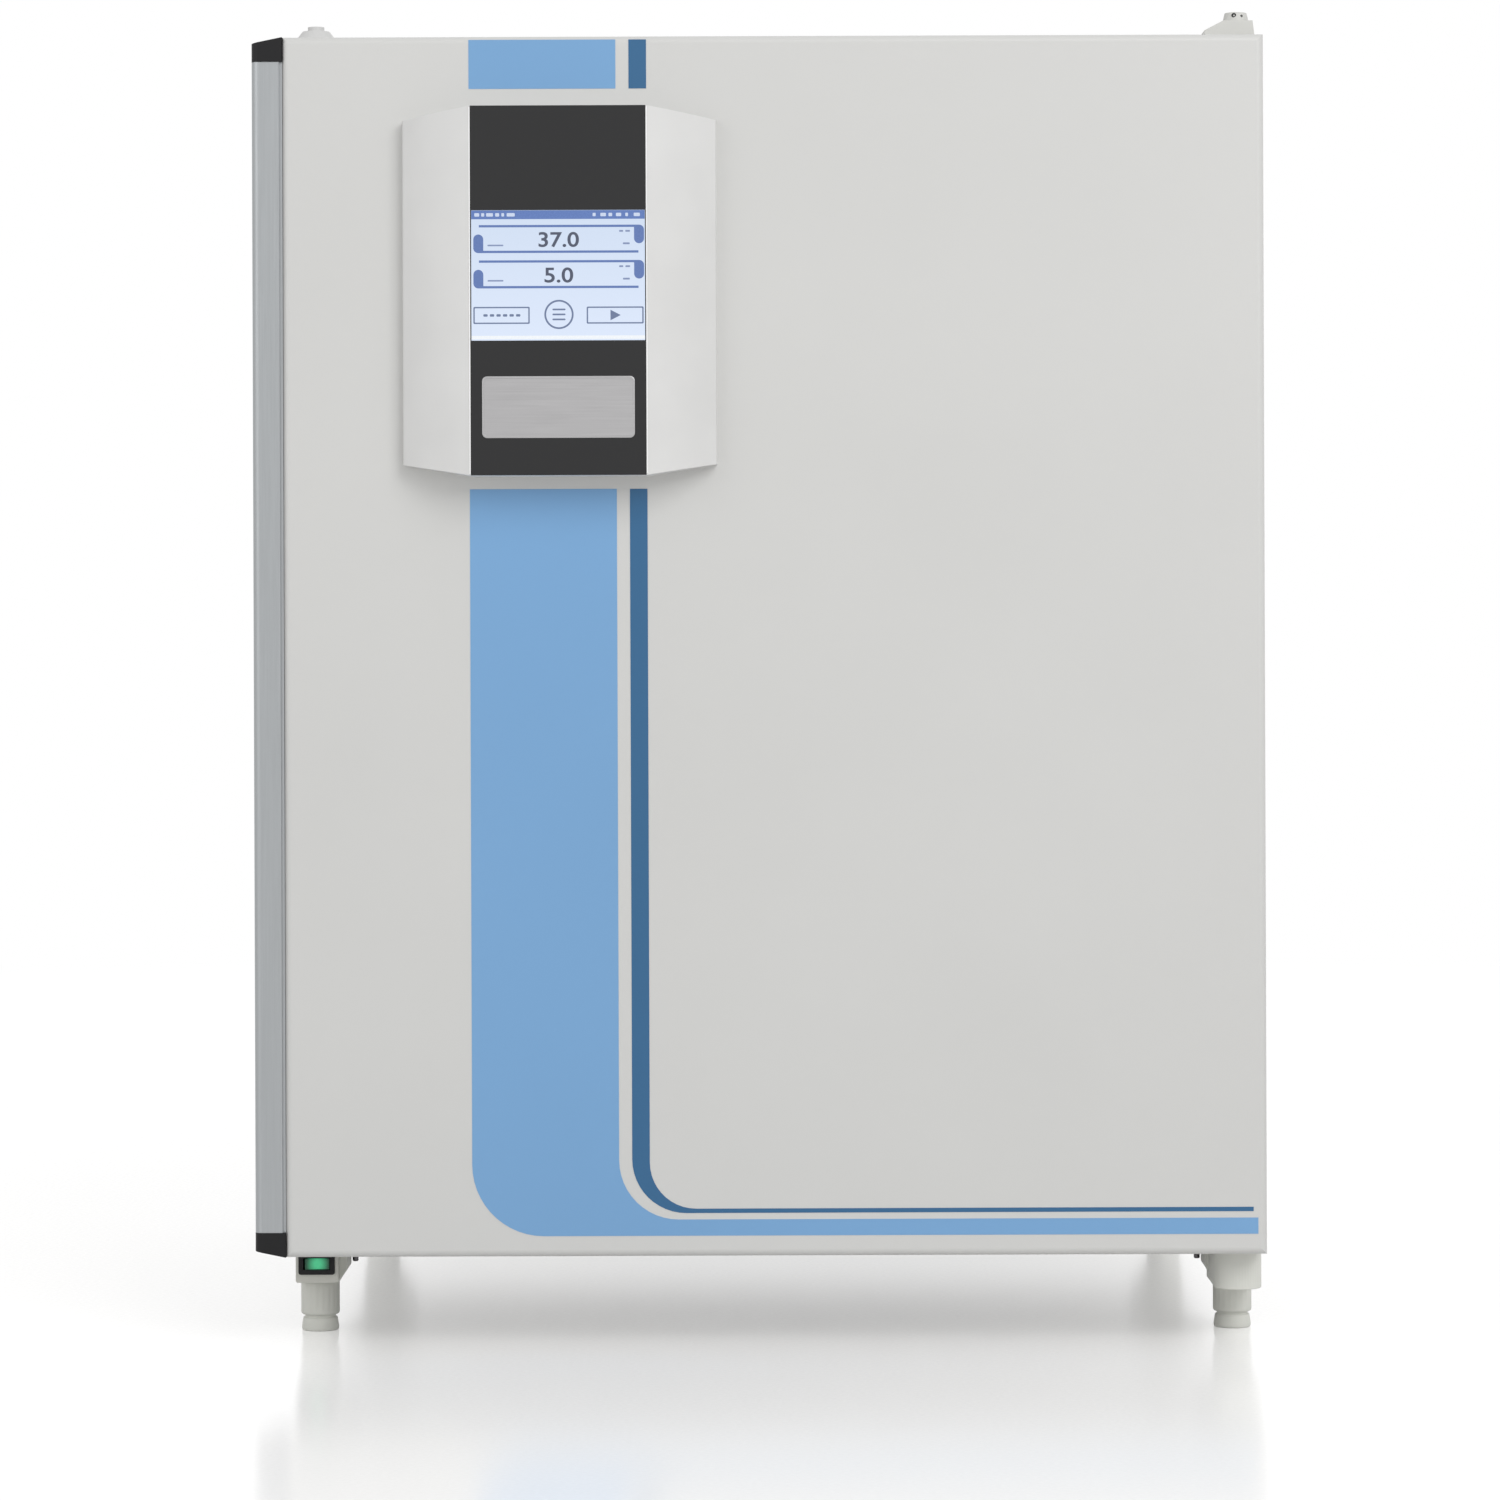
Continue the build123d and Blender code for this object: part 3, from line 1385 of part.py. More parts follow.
def all_parts():
    """Every node by name, each a shape or a list of separate solids."""
    parts = {
        "outer_housing": outer_housing(),
        "base_plate": base_plate(),
        "rear_panel": rear_panel(),
        "front_frame": front_frame(),
        "chamber_insulation": chamber_insulation(),
        "inner_chamber": inner_chamber(),
        "water_trough": water_trough(),
        "glass_door_seal": glass_door_seal(),
        "shelf_uprights": shelf_uprights(),
        "sensor_head": sensor_head(),
        "fan_motor": fan_motor(),
        "fan_wheel": fan_wheel(),
        "glass_pane": glass_pane(),
        "glass_hinge_leaves": glass_hinge_leaves(),
        "glass_hinge_brackets": glass_hinge_brackets(),
        "glass_hinge_pins": glass_hinge_pins(),
        "latch_stud": latch_stud(),
        "latch_lever": latch_lever(),
        "latch_keeper": latch_keeper(),
        "door_shell": door_shell(),
        "door_insulation": door_insulation(),
        "door_liner": door_liner(),
        "door_gasket": door_gasket(),
        "handle_profile": handle_profile(),
        "handle_caps": handle_caps(),
        "stripe_light": stripe_light(),
        "stripe_dark": stripe_dark(),
        "control_housing": control_housing(),
        "control_fascia": control_fascia(),
        "touch_screen": touch_screen(),
        "name_plate": name_plate(),
        "hinge_arm": hinge_arm(),
        "hinge_block": hinge_block(),
        "hinge_pins": hinge_pins(),
        "hinge_bushes": hinge_bushes(),
        "foot_block_front_left": foot_block(-1, foot_front_y),
        "foot_block_rear_left": foot_block(-1, foot_rear_y),
        "foot_block_rear_right": foot_block(1, foot_rear_y),
        "foot_front_left": levelling_foot(-foot_x, foot_front_y),
        "foot_front_right": levelling_foot(foot_x, foot_front_y),
        "foot_rear_left": levelling_foot(-foot_x, foot_rear_y),
        "foot_rear_right": levelling_foot(foot_x, foot_rear_y),
        "stacking_pads": stacking_pads(),
        "switch_box": switch_box(),
        "switch_body": switch_body(),
        "switch_rocker": switch_rocker(),
        "rear_cover": rear_cover(),
        "mains_inlet": mains_inlet(),
        "gas_inlets": gas_inlets(),
        "data_sockets": data_sockets(),
        "access_sleeve": access_sleeve(),
        "access_plug": access_plug(),
        "pressure_vent": pressure_vent(),
        "screws": screws(),
    }
    for number, level in enumerate(shelf_heights, start=1):
        parts[f"shelf_{number}"] = shelf(level)
        parts[f"shelf_rails_{number}"] = shelf_rails(level)
    return parts


def main():
    os.makedirs("parts", exist_ok=True)
    move = Pos(-origin_x, -origin_y, 0)
    for name, shape in all_parts().items():
        if isinstance(shape, list):
            shape = Compound(children=[move * piece for piece in shape])
        else:
            shape = move * shape
        export_step(shape, f"parts/{name}.step")


if __name__ == "__main__":
    main()
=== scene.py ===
import bmesh
import bpy
import json
import math
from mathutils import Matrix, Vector

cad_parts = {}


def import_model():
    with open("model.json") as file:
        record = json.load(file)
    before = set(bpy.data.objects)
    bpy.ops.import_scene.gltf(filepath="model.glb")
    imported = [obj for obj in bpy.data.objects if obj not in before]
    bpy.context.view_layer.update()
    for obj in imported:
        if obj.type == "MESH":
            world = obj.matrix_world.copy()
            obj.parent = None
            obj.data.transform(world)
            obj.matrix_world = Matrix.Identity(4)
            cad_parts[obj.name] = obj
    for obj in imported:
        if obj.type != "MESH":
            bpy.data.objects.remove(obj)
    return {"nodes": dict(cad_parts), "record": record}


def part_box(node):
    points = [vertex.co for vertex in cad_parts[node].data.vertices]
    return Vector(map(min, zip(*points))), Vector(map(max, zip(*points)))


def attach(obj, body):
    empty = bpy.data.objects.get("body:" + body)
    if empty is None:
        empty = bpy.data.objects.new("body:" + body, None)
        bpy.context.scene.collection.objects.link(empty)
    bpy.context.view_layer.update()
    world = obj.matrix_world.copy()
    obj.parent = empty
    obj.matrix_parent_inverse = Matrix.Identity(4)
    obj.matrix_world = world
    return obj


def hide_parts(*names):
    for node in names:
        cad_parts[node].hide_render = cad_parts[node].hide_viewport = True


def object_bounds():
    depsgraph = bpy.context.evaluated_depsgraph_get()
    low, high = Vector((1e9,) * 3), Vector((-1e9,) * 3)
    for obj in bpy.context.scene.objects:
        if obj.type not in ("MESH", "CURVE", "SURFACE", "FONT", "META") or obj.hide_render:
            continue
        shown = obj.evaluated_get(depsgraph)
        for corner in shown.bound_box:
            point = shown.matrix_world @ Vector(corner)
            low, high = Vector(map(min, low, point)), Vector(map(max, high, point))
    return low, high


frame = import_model()
cad_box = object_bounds()

# Lengths in metres unless a comment says otherwise; MM turns millimetres into metres.
MM = 0.001

# The photograph: its size, the scale at the door's face and where the camera's axis meets it
PHOTO_PX = 1500
PX_PER_METRE = 1541.6
CAMERA_DISTANCE = 3.2
AXIS_PX = (755.0, 645.0)
DOOR_MIDDLE_PX = 774.6
DOOR_TOP_PX = 35.3
CAMERA_ROLL_DEG = 0.2
SENSOR_MM = 36.0

BODY_OF_DOOR = "outer_door"
INK_LIFT = 0.05 * MM


def srgb(red, green, blue):
    """Linear colour of an 8-bit display colour."""
    channels = [value / 255 for value in (red, green, blue)]
    linear = [c / 12.92 if c <= 0.04045 else ((c + 0.055) / 1.055) ** 2.4 for c in channels]
    return (*linear, 1.0)


def shaded(colour, factor):
    """A colour made lighter or darker."""
    return (*[min(1.0, channel * factor) for channel in colour[:3]], 1.0)


class Graph:
    """Short names for adding and linking the nodes of one material."""

    def __init__(self, name):
        self.material = bpy.data.materials.new(name)
        self.material.use_nodes = True
        self.nodes = self.material.node_tree.nodes
        self.links = self.material.node_tree.links
        self.shader = self.nodes["Principled BSDF"]
        self.coordinates = self.nodes.new("ShaderNodeTexCoord").outputs["Object"]

    def set(self, **values):
        for label, value in values.items():
            self.shader.inputs[label.replace("_", " ")].default_value = value

    def mapped(self, stretch):
        mapping = self.nodes.new("ShaderNodeMapping")
        mapping.inputs["Scale"].default_value = stretch
        self.links.new(self.coordinates, mapping.inputs["Vector"])
        return mapping.outputs["Vector"]

    def noise(self, size, stretch=(1, 1, 1), detail=3.0):
        """Noise whose patches are about that size."""
        texture = self.nodes.new("ShaderNodeTexNoise")
        texture.inputs["Scale"].default_value = 1 / size
        texture.inputs["Detail"].default_value = detail
        self.links.new(self.mapped(stretch), texture.inputs["Vector"])
        return texture.outputs["Fac"]

    def ranged(self, value, low, high, source=(0.3, 0.7)):
        node = self.nodes.new("ShaderNodeMapRange")
        node.inputs["From Min"].default_value = source[0]
        node.inputs["From Max"].default_value = source[1]
        node.inputs["To Min"].default_value = low
        node.inputs["To Max"].default_value = high
        self.links.new(value, node.inputs["Value"])
        return node.outputs["Result"]

    def mixed(self, factor, first, second):
        node = self.nodes.new("ShaderNodeMix")
        node.data_type = "RGBA"
        self.links.new(factor, node.inputs["Factor"])
        for socket, colour in ((node.inputs["A"], first), (node.inputs["B"], second)):
            if isinstance(colour, tuple):
                socket.default_value = colour
            else:
                self.links.new(colour, socket)
        return node.outputs["Result"]

    def bump(self, height, depth):
        node = self.nodes.new("ShaderNodeBump")
        node.inputs["Strength"].default_value = 1.0
        node.inputs["Distance"].default_value = depth
        self.links.new(height, node.inputs["Height"])
        return node.outputs["Normal"]

    def feed(self, label, output):
        self.links.new(output, self.shader.inputs[label])


def finish(name, colour, roughness, metallic=0.0, tone=0.025, tone_size=0.16, grain=0.9 * MM,
           relief=0.006 * MM, stretch=(1, 1, 1), spread=0.05):
    """A surface with a little variation of tone, fine grain in its relief and uneven gloss."""
    graph = Graph(name)
    tone_noise = graph.noise(tone_size, detail=2.0)
    base = graph.mixed(
        graph.ranged(tone_noise, 0.0, 1.0), shaded(colour, 1 - tone), shaded(colour, 1 + tone)
    )
    graph.feed("Base Color", base)
    grain_noise = graph.noise(grain, stretch)
    graph.feed("Roughness", graph.ranged(grain_noise, roughness - spread, roughness + spread))
    graph.feed("Normal", graph.bump(grain_noise, relief))
    graph.set(Metallic=metallic)
    return graph


# Width of the lines in brushed metal, and how much slower they change along their length
STREAK = 0.35 * MM
STREAK_SHARE = 0.012


def brushed(name, colour, roughness, along, tone=0.06):
    """Metal with fine lines along one axis."""
    stretch = tuple(STREAK_SHARE if axis == along else 1.0 for axis in "xyz")
    graph = finish(name, colour, roughness, metallic=1.0, grain=STREAK, relief=0.004 * MM,
                   stretch=stretch, spread=0.07, tone_size=0.2)
    lines = graph.noise(2 * STREAK, stretch, 2.0)
    tinted = graph.mixed(
        graph.ranged(lines, 0.0, 1.0), shaded(colour, 1 - tone), shaded(colour, 1 + tone)
    )
    graph.feed("Base Color", tinted)
    return graph


def moulded(name, colour, roughness=0.5, relief=0.012 * MM):
    """Moulded plastic with a fine spark-eroded texture."""
    return finish(name, colour, roughness, grain=0.5 * MM, relief=relief, tone=0.03, tone_size=0.05)


def powder_coat(name, colour, roughness=0.42):
    """Baked paint with a faint orange peel."""
    graph = finish(name, colour, roughness, grain=1.6 * MM, relief=0.008 * MM, tone=0.012)
    graph.set(Coat_Weight=0.12, Coat_Roughness=0.25)
    return graph


def foil(name, colour):
    """Satin printed film."""
    return finish(name, colour, 0.38, tone=0.03, tone_size=0.3, relief=0.004 * MM)


# Mirror level of dark surfaces and of the display, where 0.5 is the usual one
DULL_LEVEL = 0.3


def dulled(graph):
    """A dark surface that mirrors less of the pale room."""
    graph.set(Specular_IOR_Level=DULL_LEVEL)
    return graph


def clear_glass():
    """Clear pane with a green tint, which lets light through to what stands behind it."""
    graph = finish("glass_finish", srgb(236, 246, 242), 0.02, tone=0.01, relief=0.0005 * MM,
                   spread=0.01)
    graph.set(Transmission_Weight=1.0, IOR=1.5)
    output = graph.nodes["Material Output"]
    path = graph.nodes.new("ShaderNodeLightPath")
    clear = graph.nodes.new("ShaderNodeBsdfTransparent")
    clear.inputs["Color"].default_value = srgb(238, 247, 244)
    mix = graph.nodes.new("ShaderNodeMixShader")
    graph.links.new(path.outputs["Is Shadow Ray"], mix.inputs["Fac"])
    graph.links.new(graph.shader.outputs["BSDF"], mix.inputs[1])
    graph.links.new(clear.outputs["BSDF"], mix.inputs[2])
    graph.links.new(mix.outputs["Shader"], output.inputs["Surface"])
    return graph


# The film over the display: size of its weave, and its least and greatest roughness
FILM_WEAVE = 0.4 * MM
FILM_GLOSS = (0.22, 0.3)
INK_STRENGTH = 0.88


def under_film(graph, weave, base, strength):
    """Clear woven film over a surface that gives its own light."""
    graph.feed("Roughness", graph.ranged(weave, *FILM_GLOSS))
    graph.set(Base_Color=base, Emission_Strength=strength, Specular_IOR_Level=DULL_LEVEL)


def lit_display(name, top, low, strength, z_range):
    """A backlit panel: its own light, a little brighter towards one end, under clear film."""
    graph = Graph(name)
    place = graph.nodes.new("ShaderNodeSeparateXYZ")
    graph.links.new(graph.coordinates, place.inputs["Vector"])
    height = graph.ranged(place.outputs["Z"], 0.0, 1.0, z_range)
    light = graph.mixed(height, low, top)
    weave = graph.noise(FILM_WEAVE, detail=1.0)
    glow = graph.mixed(graph.ranged(weave, 0.0, 0.06), light, shaded(top, 0.6))
    graph.feed("Emission Color", glow)
    under_film(graph, weave, shaded(low, 0.12), strength)
    return graph


# Distances from the rocker's middle between which its glow fades out
ROCKER_HALO = (3.0 * MM, 8.0 * MM)


def lit_rocker():
    """Green lens with a lamp behind its middle."""
    low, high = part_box("switch_rocker")
    centre = (low + high) / 2
    graph = moulded("rocker_finish", srgb(14, 76, 52), 0.3)
    offset = graph.nodes.new("ShaderNodeVectorMath")
    offset.operation = "DISTANCE"
    offset.inputs[1].default_value = centre
    graph.links.new(graph.coordinates, offset.inputs[0])
    halo = graph.ranged(offset.outputs["Value"], 1.0, 0.0, ROCKER_HALO)
    graph.feed("Emission Color", graph.mixed(halo, srgb(6, 46, 30), srgb(76, 206, 146)))
    graph.set(Emission_Strength=0.7)
    return graph


screen_low, screen_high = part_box("touch_screen")

STEEL = srgb(205, 206, 205)
FINISHES = {
    "cabinet_paint": lambda: powder_coat("cabinet_paint_finish", srgb(214, 214, 211)),
    "door_paint": lambda: powder_coat("door_paint_finish", srgb(213, 213, 211)),
    "cover_paint": lambda: powder_coat("cover_paint_finish", srgb(210, 210, 208)),
    "rear_steel": lambda: powder_coat("rear_paint_finish", srgb(206, 207, 206), 0.5),
    "frame_steel": lambda: powder_coat("frame_paint_finish", srgb(212, 212, 209)),
    "liner_steel": lambda: powder_coat("liner_paint_finish", srgb(216, 216, 214)),
    "foam": lambda: finish("foam_finish", srgb(228, 220, 190), 0.9, grain=1.2 * MM,
                           relief=0.2 * MM, tone=0.08),
    "chamber_steel": lambda: brushed("chamber_steel_finish", STEEL, 0.3, "x"),
    "shelf_steel": lambda: brushed("shelf_steel_finish", STEEL, 0.32, "y"),
    "sensor_steel": lambda: brushed("sensor_steel_finish", srgb(196, 197, 197), 0.3, "z"),
    "motor_steel": lambda: brushed("motor_steel_finish", srgb(160, 161, 162), 0.45, "y"),
    "hinge_steel": lambda: brushed("hinge_steel_finish", srgb(196, 196, 195), 0.35, "z"),
    "pin_steel": lambda: brushed("pin_steel_finish", srgb(205, 206, 208), 0.2, "z"),
    "screw_steel": lambda: brushed("screw_steel_finish", srgb(188, 189, 190), 0.3, "x"),
    "socket_metal": lambda: brushed("socket_metal_finish", srgb(176, 177, 178), 0.35, "x"),
    "silicone": lambda: finish("silicone_finish", srgb(222, 221, 216), 0.55, grain=0.7 * MM,
                               relief=0.01 * MM),
    "gasket_rubber": lambda: finish("gasket_finish", srgb(182, 184, 185), 0.6, grain=0.6 * MM,
                                    relief=0.02 * MM),
    "glass": clear_glass,
    "latch_plastic": lambda: moulded("latch_finish", srgb(52, 53, 55)),
    "fan_plastic": lambda: moulded("fan_finish", srgb(122, 125, 128)),
    "handle_aluminium": lambda: brushed("handle_finish", srgb(164, 167, 169), 0.42, "z", tone=0.03),
    "cap_plastic": lambda: dulled(moulded("cap_finish", srgb(16, 16, 18), 0.5)),
    "light_foil": lambda: foil("light_foil_finish", srgb(122, 169, 214)),
    "dark_foil": lambda: foil("dark_foil_finish", srgb(45, 100, 143)),
    "panel_plastic": lambda: moulded("panel_finish", srgb(220, 220, 219), 0.42, 0.006 * MM),
    "fascia_black": lambda: dulled(finish("fascia_finish", srgb(38, 38, 39), 0.35, grain=0.5 * MM,
                                          relief=0.003 * MM)),
    "screen": lambda: lit_display("screen_finish", srgb(206, 220, 240), srgb(220, 231, 250), 0.9,
                                  (screen_low.z, screen_high.z)),
    "plate_metal": lambda: brushed("plate_finish", srgb(172, 171, 172), 0.38, "x", tone=0.04),
    "bracket_plastic": lambda: moulded("bracket_finish", srgb(210, 210, 206)),
    "foot_plastic": lambda: moulded("foot_finish", srgb(226, 227, 220)),
    "pad_plastic": lambda: moulded("pad_finish", srgb(214, 214, 213)),
    "bush_plastic": lambda: moulded("bush_finish", srgb(204, 204, 200)),
    "switch_grey": lambda: moulded("switch_box_finish", srgb(222, 222, 214)),
    "rocker_green": lit_rocker,
    "nipple_brass": lambda: brushed("nipple_finish", srgb(206, 176, 116), 0.3, "y"),
    "sleeve_plastic": lambda: moulded("sleeve_finish", srgb(208, 208, 204)),
}


def dress_nodes():
    """Gives each CAD node the finish of its material slot."""
    made = {}
    for row in frame["record"]["subparts"]:
        slot = row["material_slot"]
        if slot not in made:
            made[slot] = FINISHES[slot]().material
        frame["nodes"][row["node"]].material_slots[0].material = made[slot]
    return made


def as_piece(name, mesh, material, body):
    """A mesh made into a piece of one material, riding on a body."""
    mesh.name = name
    piece = bpy.data.objects.new(name, mesh)
    bpy.context.scene.collection.objects.link(piece)
    mesh.materials.clear()
    mesh.materials.append(material)
    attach(piece, body)
    return piece


def mesh_piece(name, vertices, faces, material, body):
    """A new piece from its points and faces, riding on a body."""
    mesh = bpy.data.meshes.new(name)
    mesh.from_pydata([tuple(v) for v in vertices], [], faces)
    mesh.update()
    return as_piece(name, mesh, material, body)


# Steps in a quarter of a circle, where no other number is given
QUARTER_STEPS = 6


def arc(centre, radius, start_deg, end_deg, steps):
    """Points of an arc, as pairs."""
    angles = [math.radians(start_deg + (end_deg - start_deg) * n / steps) for n in range(steps + 1)]
    return [(centre[0] + radius * math.cos(a), centre[1] + radius * math.sin(a)) for a in angles]


class Artwork:
    """Flat shapes on the screen, given in millimetres from its upper left corner."""

    def __init__(self, name, material):
        self.name = name
        self.material = material
        self.vertices = []
        self.faces = []

    def placed(self, x, down, lift):
        """A point in the frame, lifted off the screen."""
        return (screen_low.x + x * MM, screen_low.y - lift, screen_high.z - down * MM)

    def plate(self, outline, lift=INK_LIFT):
        """A filled shape with a thin edge."""
        first = len(self.vertices)
        count = len(outline)
        for depth in (lift, 0.0):
            self.vertices += [self.placed(x, down, depth) for x, down in outline]
        self.faces.append(list(range(first, first + count)))
        for n in range(count):
            m = (n + 1) % count
            self.faces.append([first + n, first + count + n, first + count + m, first + m])

    def band(self, outer, inner):
        """A closed line between two outlines of as many points."""
        first = len(self.vertices)
        count = len(outer)
        for lift in (INK_LIFT, 0.0):
            for outline in (outer, inner):
                self.vertices += [self.placed(x, down, lift) for x, down in outline]
        for n in range(count):
            m = (n + 1) % count
            for a, b in ((0, 1), (2, 0), (1, 3)):
                self.faces.append([first + a * count + n, first + a * count + m,
                                   first + b * count + m, first + b * count + n])

    def bar(self, x0, down0, x1, down1):
        """A filled rectangle."""
        self.plate([(x0, down0), (x1, down0), (x1, down1), (x0, down1)])

    def finished(self):
        """Makes the piece that holds all shapes added so far."""
        mesh_piece(self.name, self.vertices, self.faces, self.material, BODY_OF_DOOR)


def rounded_rectangle(x0, down0, x1, down1, radius, steps=QUARTER_STEPS):
    """Outline of a rectangle with round corners."""
    corners = [(x1 - radius, down1 - radius, 0), (x0 + radius, down1 - radius, 90),
               (x0 + radius, down0 + radius, 180), (x1 - radius, down0 + radius, 270)]
    outline = []
    for cx, cy, start in corners:
        outline += arc((cx, cy), radius, start, start + 90, steps)
    return outline


def lit_ink(name, colour):
    """A lit shape on the display, which glows in its own colour."""
    graph = Graph(name)
    weave = graph.noise(FILM_WEAVE, detail=1.0)
    glow = graph.mixed(graph.ranged(weave, 0.0, 1.0), shaded(colour, 0.94), shaded(colour, 1.06))
    graph.feed("Emission Color", glow)
    under_film(graph, weave, shaded(colour, 0.1), INK_STRENGTH)
    return graph.material


# The display: a header, two value fields with a hook at each end, and a row of buttons.
# All places are in millimetres to the right of and down from the screen's upper left corner.
SCREEN_WIDTH = (screen_high.x - screen_low.x) / MM
HEADER = (0.0, 0.1, SCREEN_WIDTH, 5.7)
# Left end and width of each small mark in the header, and the rows they lie between
HEADER_MARKS = [(2.0, 3.2), (6.4, 2.0), (9.6, 4.4), (15.4, 2.6), (19.4, 1.8), (22.8, 5.2),
                (78.0, 2.0), (83.0, 3.6), (88.2, 2.4), (93.0, 3.4), (99.0, 1.8), (104.4, 4.0)]
HEADER_MARK_ROWS = (1.8, 4.0)
MARK_CORNER = 0.5
MARK_STEPS = 3

FIELD_TOPS = (9.45, 32.15)
FIELD_HEIGHT = 18.0
FIELD_LEFT = 1.3
FIELD_RIGHT = 111.0
LINE_THICK = 1.5
LINE_SHORT = 3.6
HOOK_WIDTH = 6.4
HOOK_HEIGHT = 12.0
# Small marks beside each value, down from the field's top
FIELD_MARKS = [(10.4, 12.6, 20.6, 13.6), (95.0, 3.4, 97.6, 4.6), (99.0, 3.4, 102.0, 4.6),
               (97.4, 11.4, 101.8, 12.6)]
FIELD_MARK_CORNER = 0.4

# Name, figures and middle height of each value
VALUES = [("display_value_upper", "37.0", 18.9), ("display_value_lower", "5.0", 41.7)]
VALUE_CENTRE = 56.2
DIGIT_HEIGHT = 9.8
DIGIT_STRETCH = 1.18
DIGIT_BOLD = 0.016

BUTTON_ROW = (62.0, 73.0)
LEFT_BUTTON = (1.2, 37.4)
RIGHT_BUTTON = (74.0, 110.6)
BUTTON_CORNER = 0.8
FRAME_THICK = 0.9
ROUND_BUTTON = (56.2, 67.0)
ROUND_RADIUS = 9.4
ROUND_THICK = 1.3 * FRAME_THICK
# Start, end and steps of a ring whose last point lies one step before its first
ROUND_ARC = (0, 354, 59)
DASH_COUNT = 6
DASH_START = 6.4
DASH_PITCH = 4.2
DASH_WIDTH = 2.8
DASH_HALF_HEIGHT = 0.8
MENU_OFFSETS = (-3.2, 0.0, 3.2)
MENU_HALF_WIDTH = 4.2
MENU_HALF_HEIGHT = 0.55
PLAY_SIGN = [(-3.0, -3.4), (3.6, 0.0), (-3.0, 3.4)]
# A near-white bar just above the screen's lower edge: a painted highlight, given its own light
LOWER_PAINTED_HIGHLIGHT = (0.0, 80.6, SCREEN_WIDTH, 82.8)


def value_field(art, top):
    """A field bounded by two lines, each turning into a broad hook at one end."""
    low = top + FIELD_HEIGHT
    r = HOOK_WIDTH / 2
    line_left = FIELD_LEFT + LINE_SHORT
    line_right = FIELD_RIGHT - LINE_SHORT
    upper = [(line_left, top), (FIELD_RIGHT - r, top)]
    upper += arc((FIELD_RIGHT - r, top + r), r, -90, 0, QUARTER_STEPS)
    upper += arc((FIELD_RIGHT - r, top + HOOK_HEIGHT - r), r, 0, 180, 2 * QUARTER_STEPS)
    upper += [(FIELD_RIGHT - HOOK_WIDTH, top + LINE_THICK), (line_left, top + LINE_THICK)]
    art.plate(upper)
    lower = [(line_right, low), (FIELD_LEFT + r, low)]
    lower += arc((FIELD_LEFT + r, low - r), r, 90, 180, QUARTER_STEPS)
    lower += arc((FIELD_LEFT + r, low - HOOK_HEIGHT + r), r, 180, 360, 2 * QUARTER_STEPS)
    lower += [(FIELD_LEFT + HOOK_WIDTH, low - LINE_THICK), (line_right, low - LINE_THICK)]
    art.plate(lower)


def outlined(art, x_range, down_range):
    """The frame of a button."""
    x0, x1 = x_range
    down0, down1 = down_range
    thick = FRAME_THICK
    art.band(
        rounded_rectangle(x0, down0, x1, down1, BUTTON_CORNER),
        rounded_rectangle(x0 + thick, down0 + thick, x1 - thick, down1 - thick,
                          BUTTON_CORNER / 2),
    )


def mark(art, x0, down0, x1, down1, corner=MARK_CORNER, lift=INK_LIFT):
    """A small bar with round corners."""
    art.plate(rounded_rectangle(x0, down0, x1, down1, corner, MARK_STEPS), lift)


def button_art():
    """Two framed buttons and a round one, with a plain sign in each."""
    frames = Artwork("display_buttons", lit_ink("button_ink", srgb(112, 126, 158)))
    outlined(frames, LEFT_BUTTON, BUTTON_ROW)
    outlined(frames, RIGHT_BUTTON, BUTTON_ROW)
    frames.band(arc(ROUND_BUTTON, ROUND_RADIUS, *ROUND_ARC),
                arc(ROUND_BUTTON, ROUND_RADIUS - ROUND_THICK, *ROUND_ARC))
    middle = sum(BUTTON_ROW) / 2
    for n in range(DASH_COUNT):
        x = LEFT_BUTTON[0] + DASH_START + n * DASH_PITCH
        mark(frames, x, middle - DASH_HALF_HEIGHT, x + DASH_WIDTH, middle + DASH_HALF_HEIGHT)
    round_x, round_down = ROUND_BUTTON
    for offset in MENU_OFFSETS:
        down = round_down + offset
        mark(frames, round_x - MENU_HALF_WIDTH, down - MENU_HALF_HEIGHT,
             round_x + MENU_HALF_WIDTH, down + MENU_HALF_HEIGHT)
    play = sum(RIGHT_BUTTON) / 2
    frames.plate([(play + x, middle + down) for x, down in PLAY_SIGN])
    frames.finished()


def display_art():
    """All shapes and numbers shown on the touch screen, and a painted highlight along its lower
    edge, one piece for each ink or value.
    """
    header = Artwork("display_header", lit_ink("header_ink", srgb(100, 127, 188)))
    header.bar(*HEADER)
    header.finished()
    marks = Artwork("display_header_marks", lit_ink("mark_ink", srgb(206, 218, 240)))
    upper, lower = HEADER_MARK_ROWS
    for x, width in HEADER_MARKS:
        mark(marks, x, upper, x + width, lower, lift=2 * INK_LIFT)
    marks.finished()
    fields = Artwork("display_fields", lit_ink("field_ink", srgb(101, 125, 181)))
    for top in FIELD_TOPS:
        value_field(fields, top)
    fields.finished()
    button_art()
    small = Artwork("display_small_marks", lit_ink("small_ink", srgb(136, 150, 186)))
    for top in FIELD_TOPS:
        for x0, down0, x1, down1 in FIELD_MARKS:
            mark(small, x0, top + down0, x1, top + down1, FIELD_MARK_CORNER)
    small.finished()
    # Painted highlight: a near-white lit bar along the lower edge of the screen
    screen_painted_highlight = Artwork("display_painted_highlight", lit_ink("painted_highlight_ink", srgb(244, 248, 255)))
    screen_painted_highlight.bar(*LOWER_PAINTED_HIGHLIGHT)
    screen_painted_highlight.finished()
    digit_ink = lit_ink("digit_ink", srgb(84, 90, 108))
    for name, figures, down in VALUES:
        number(name, figures, down, digit_ink)


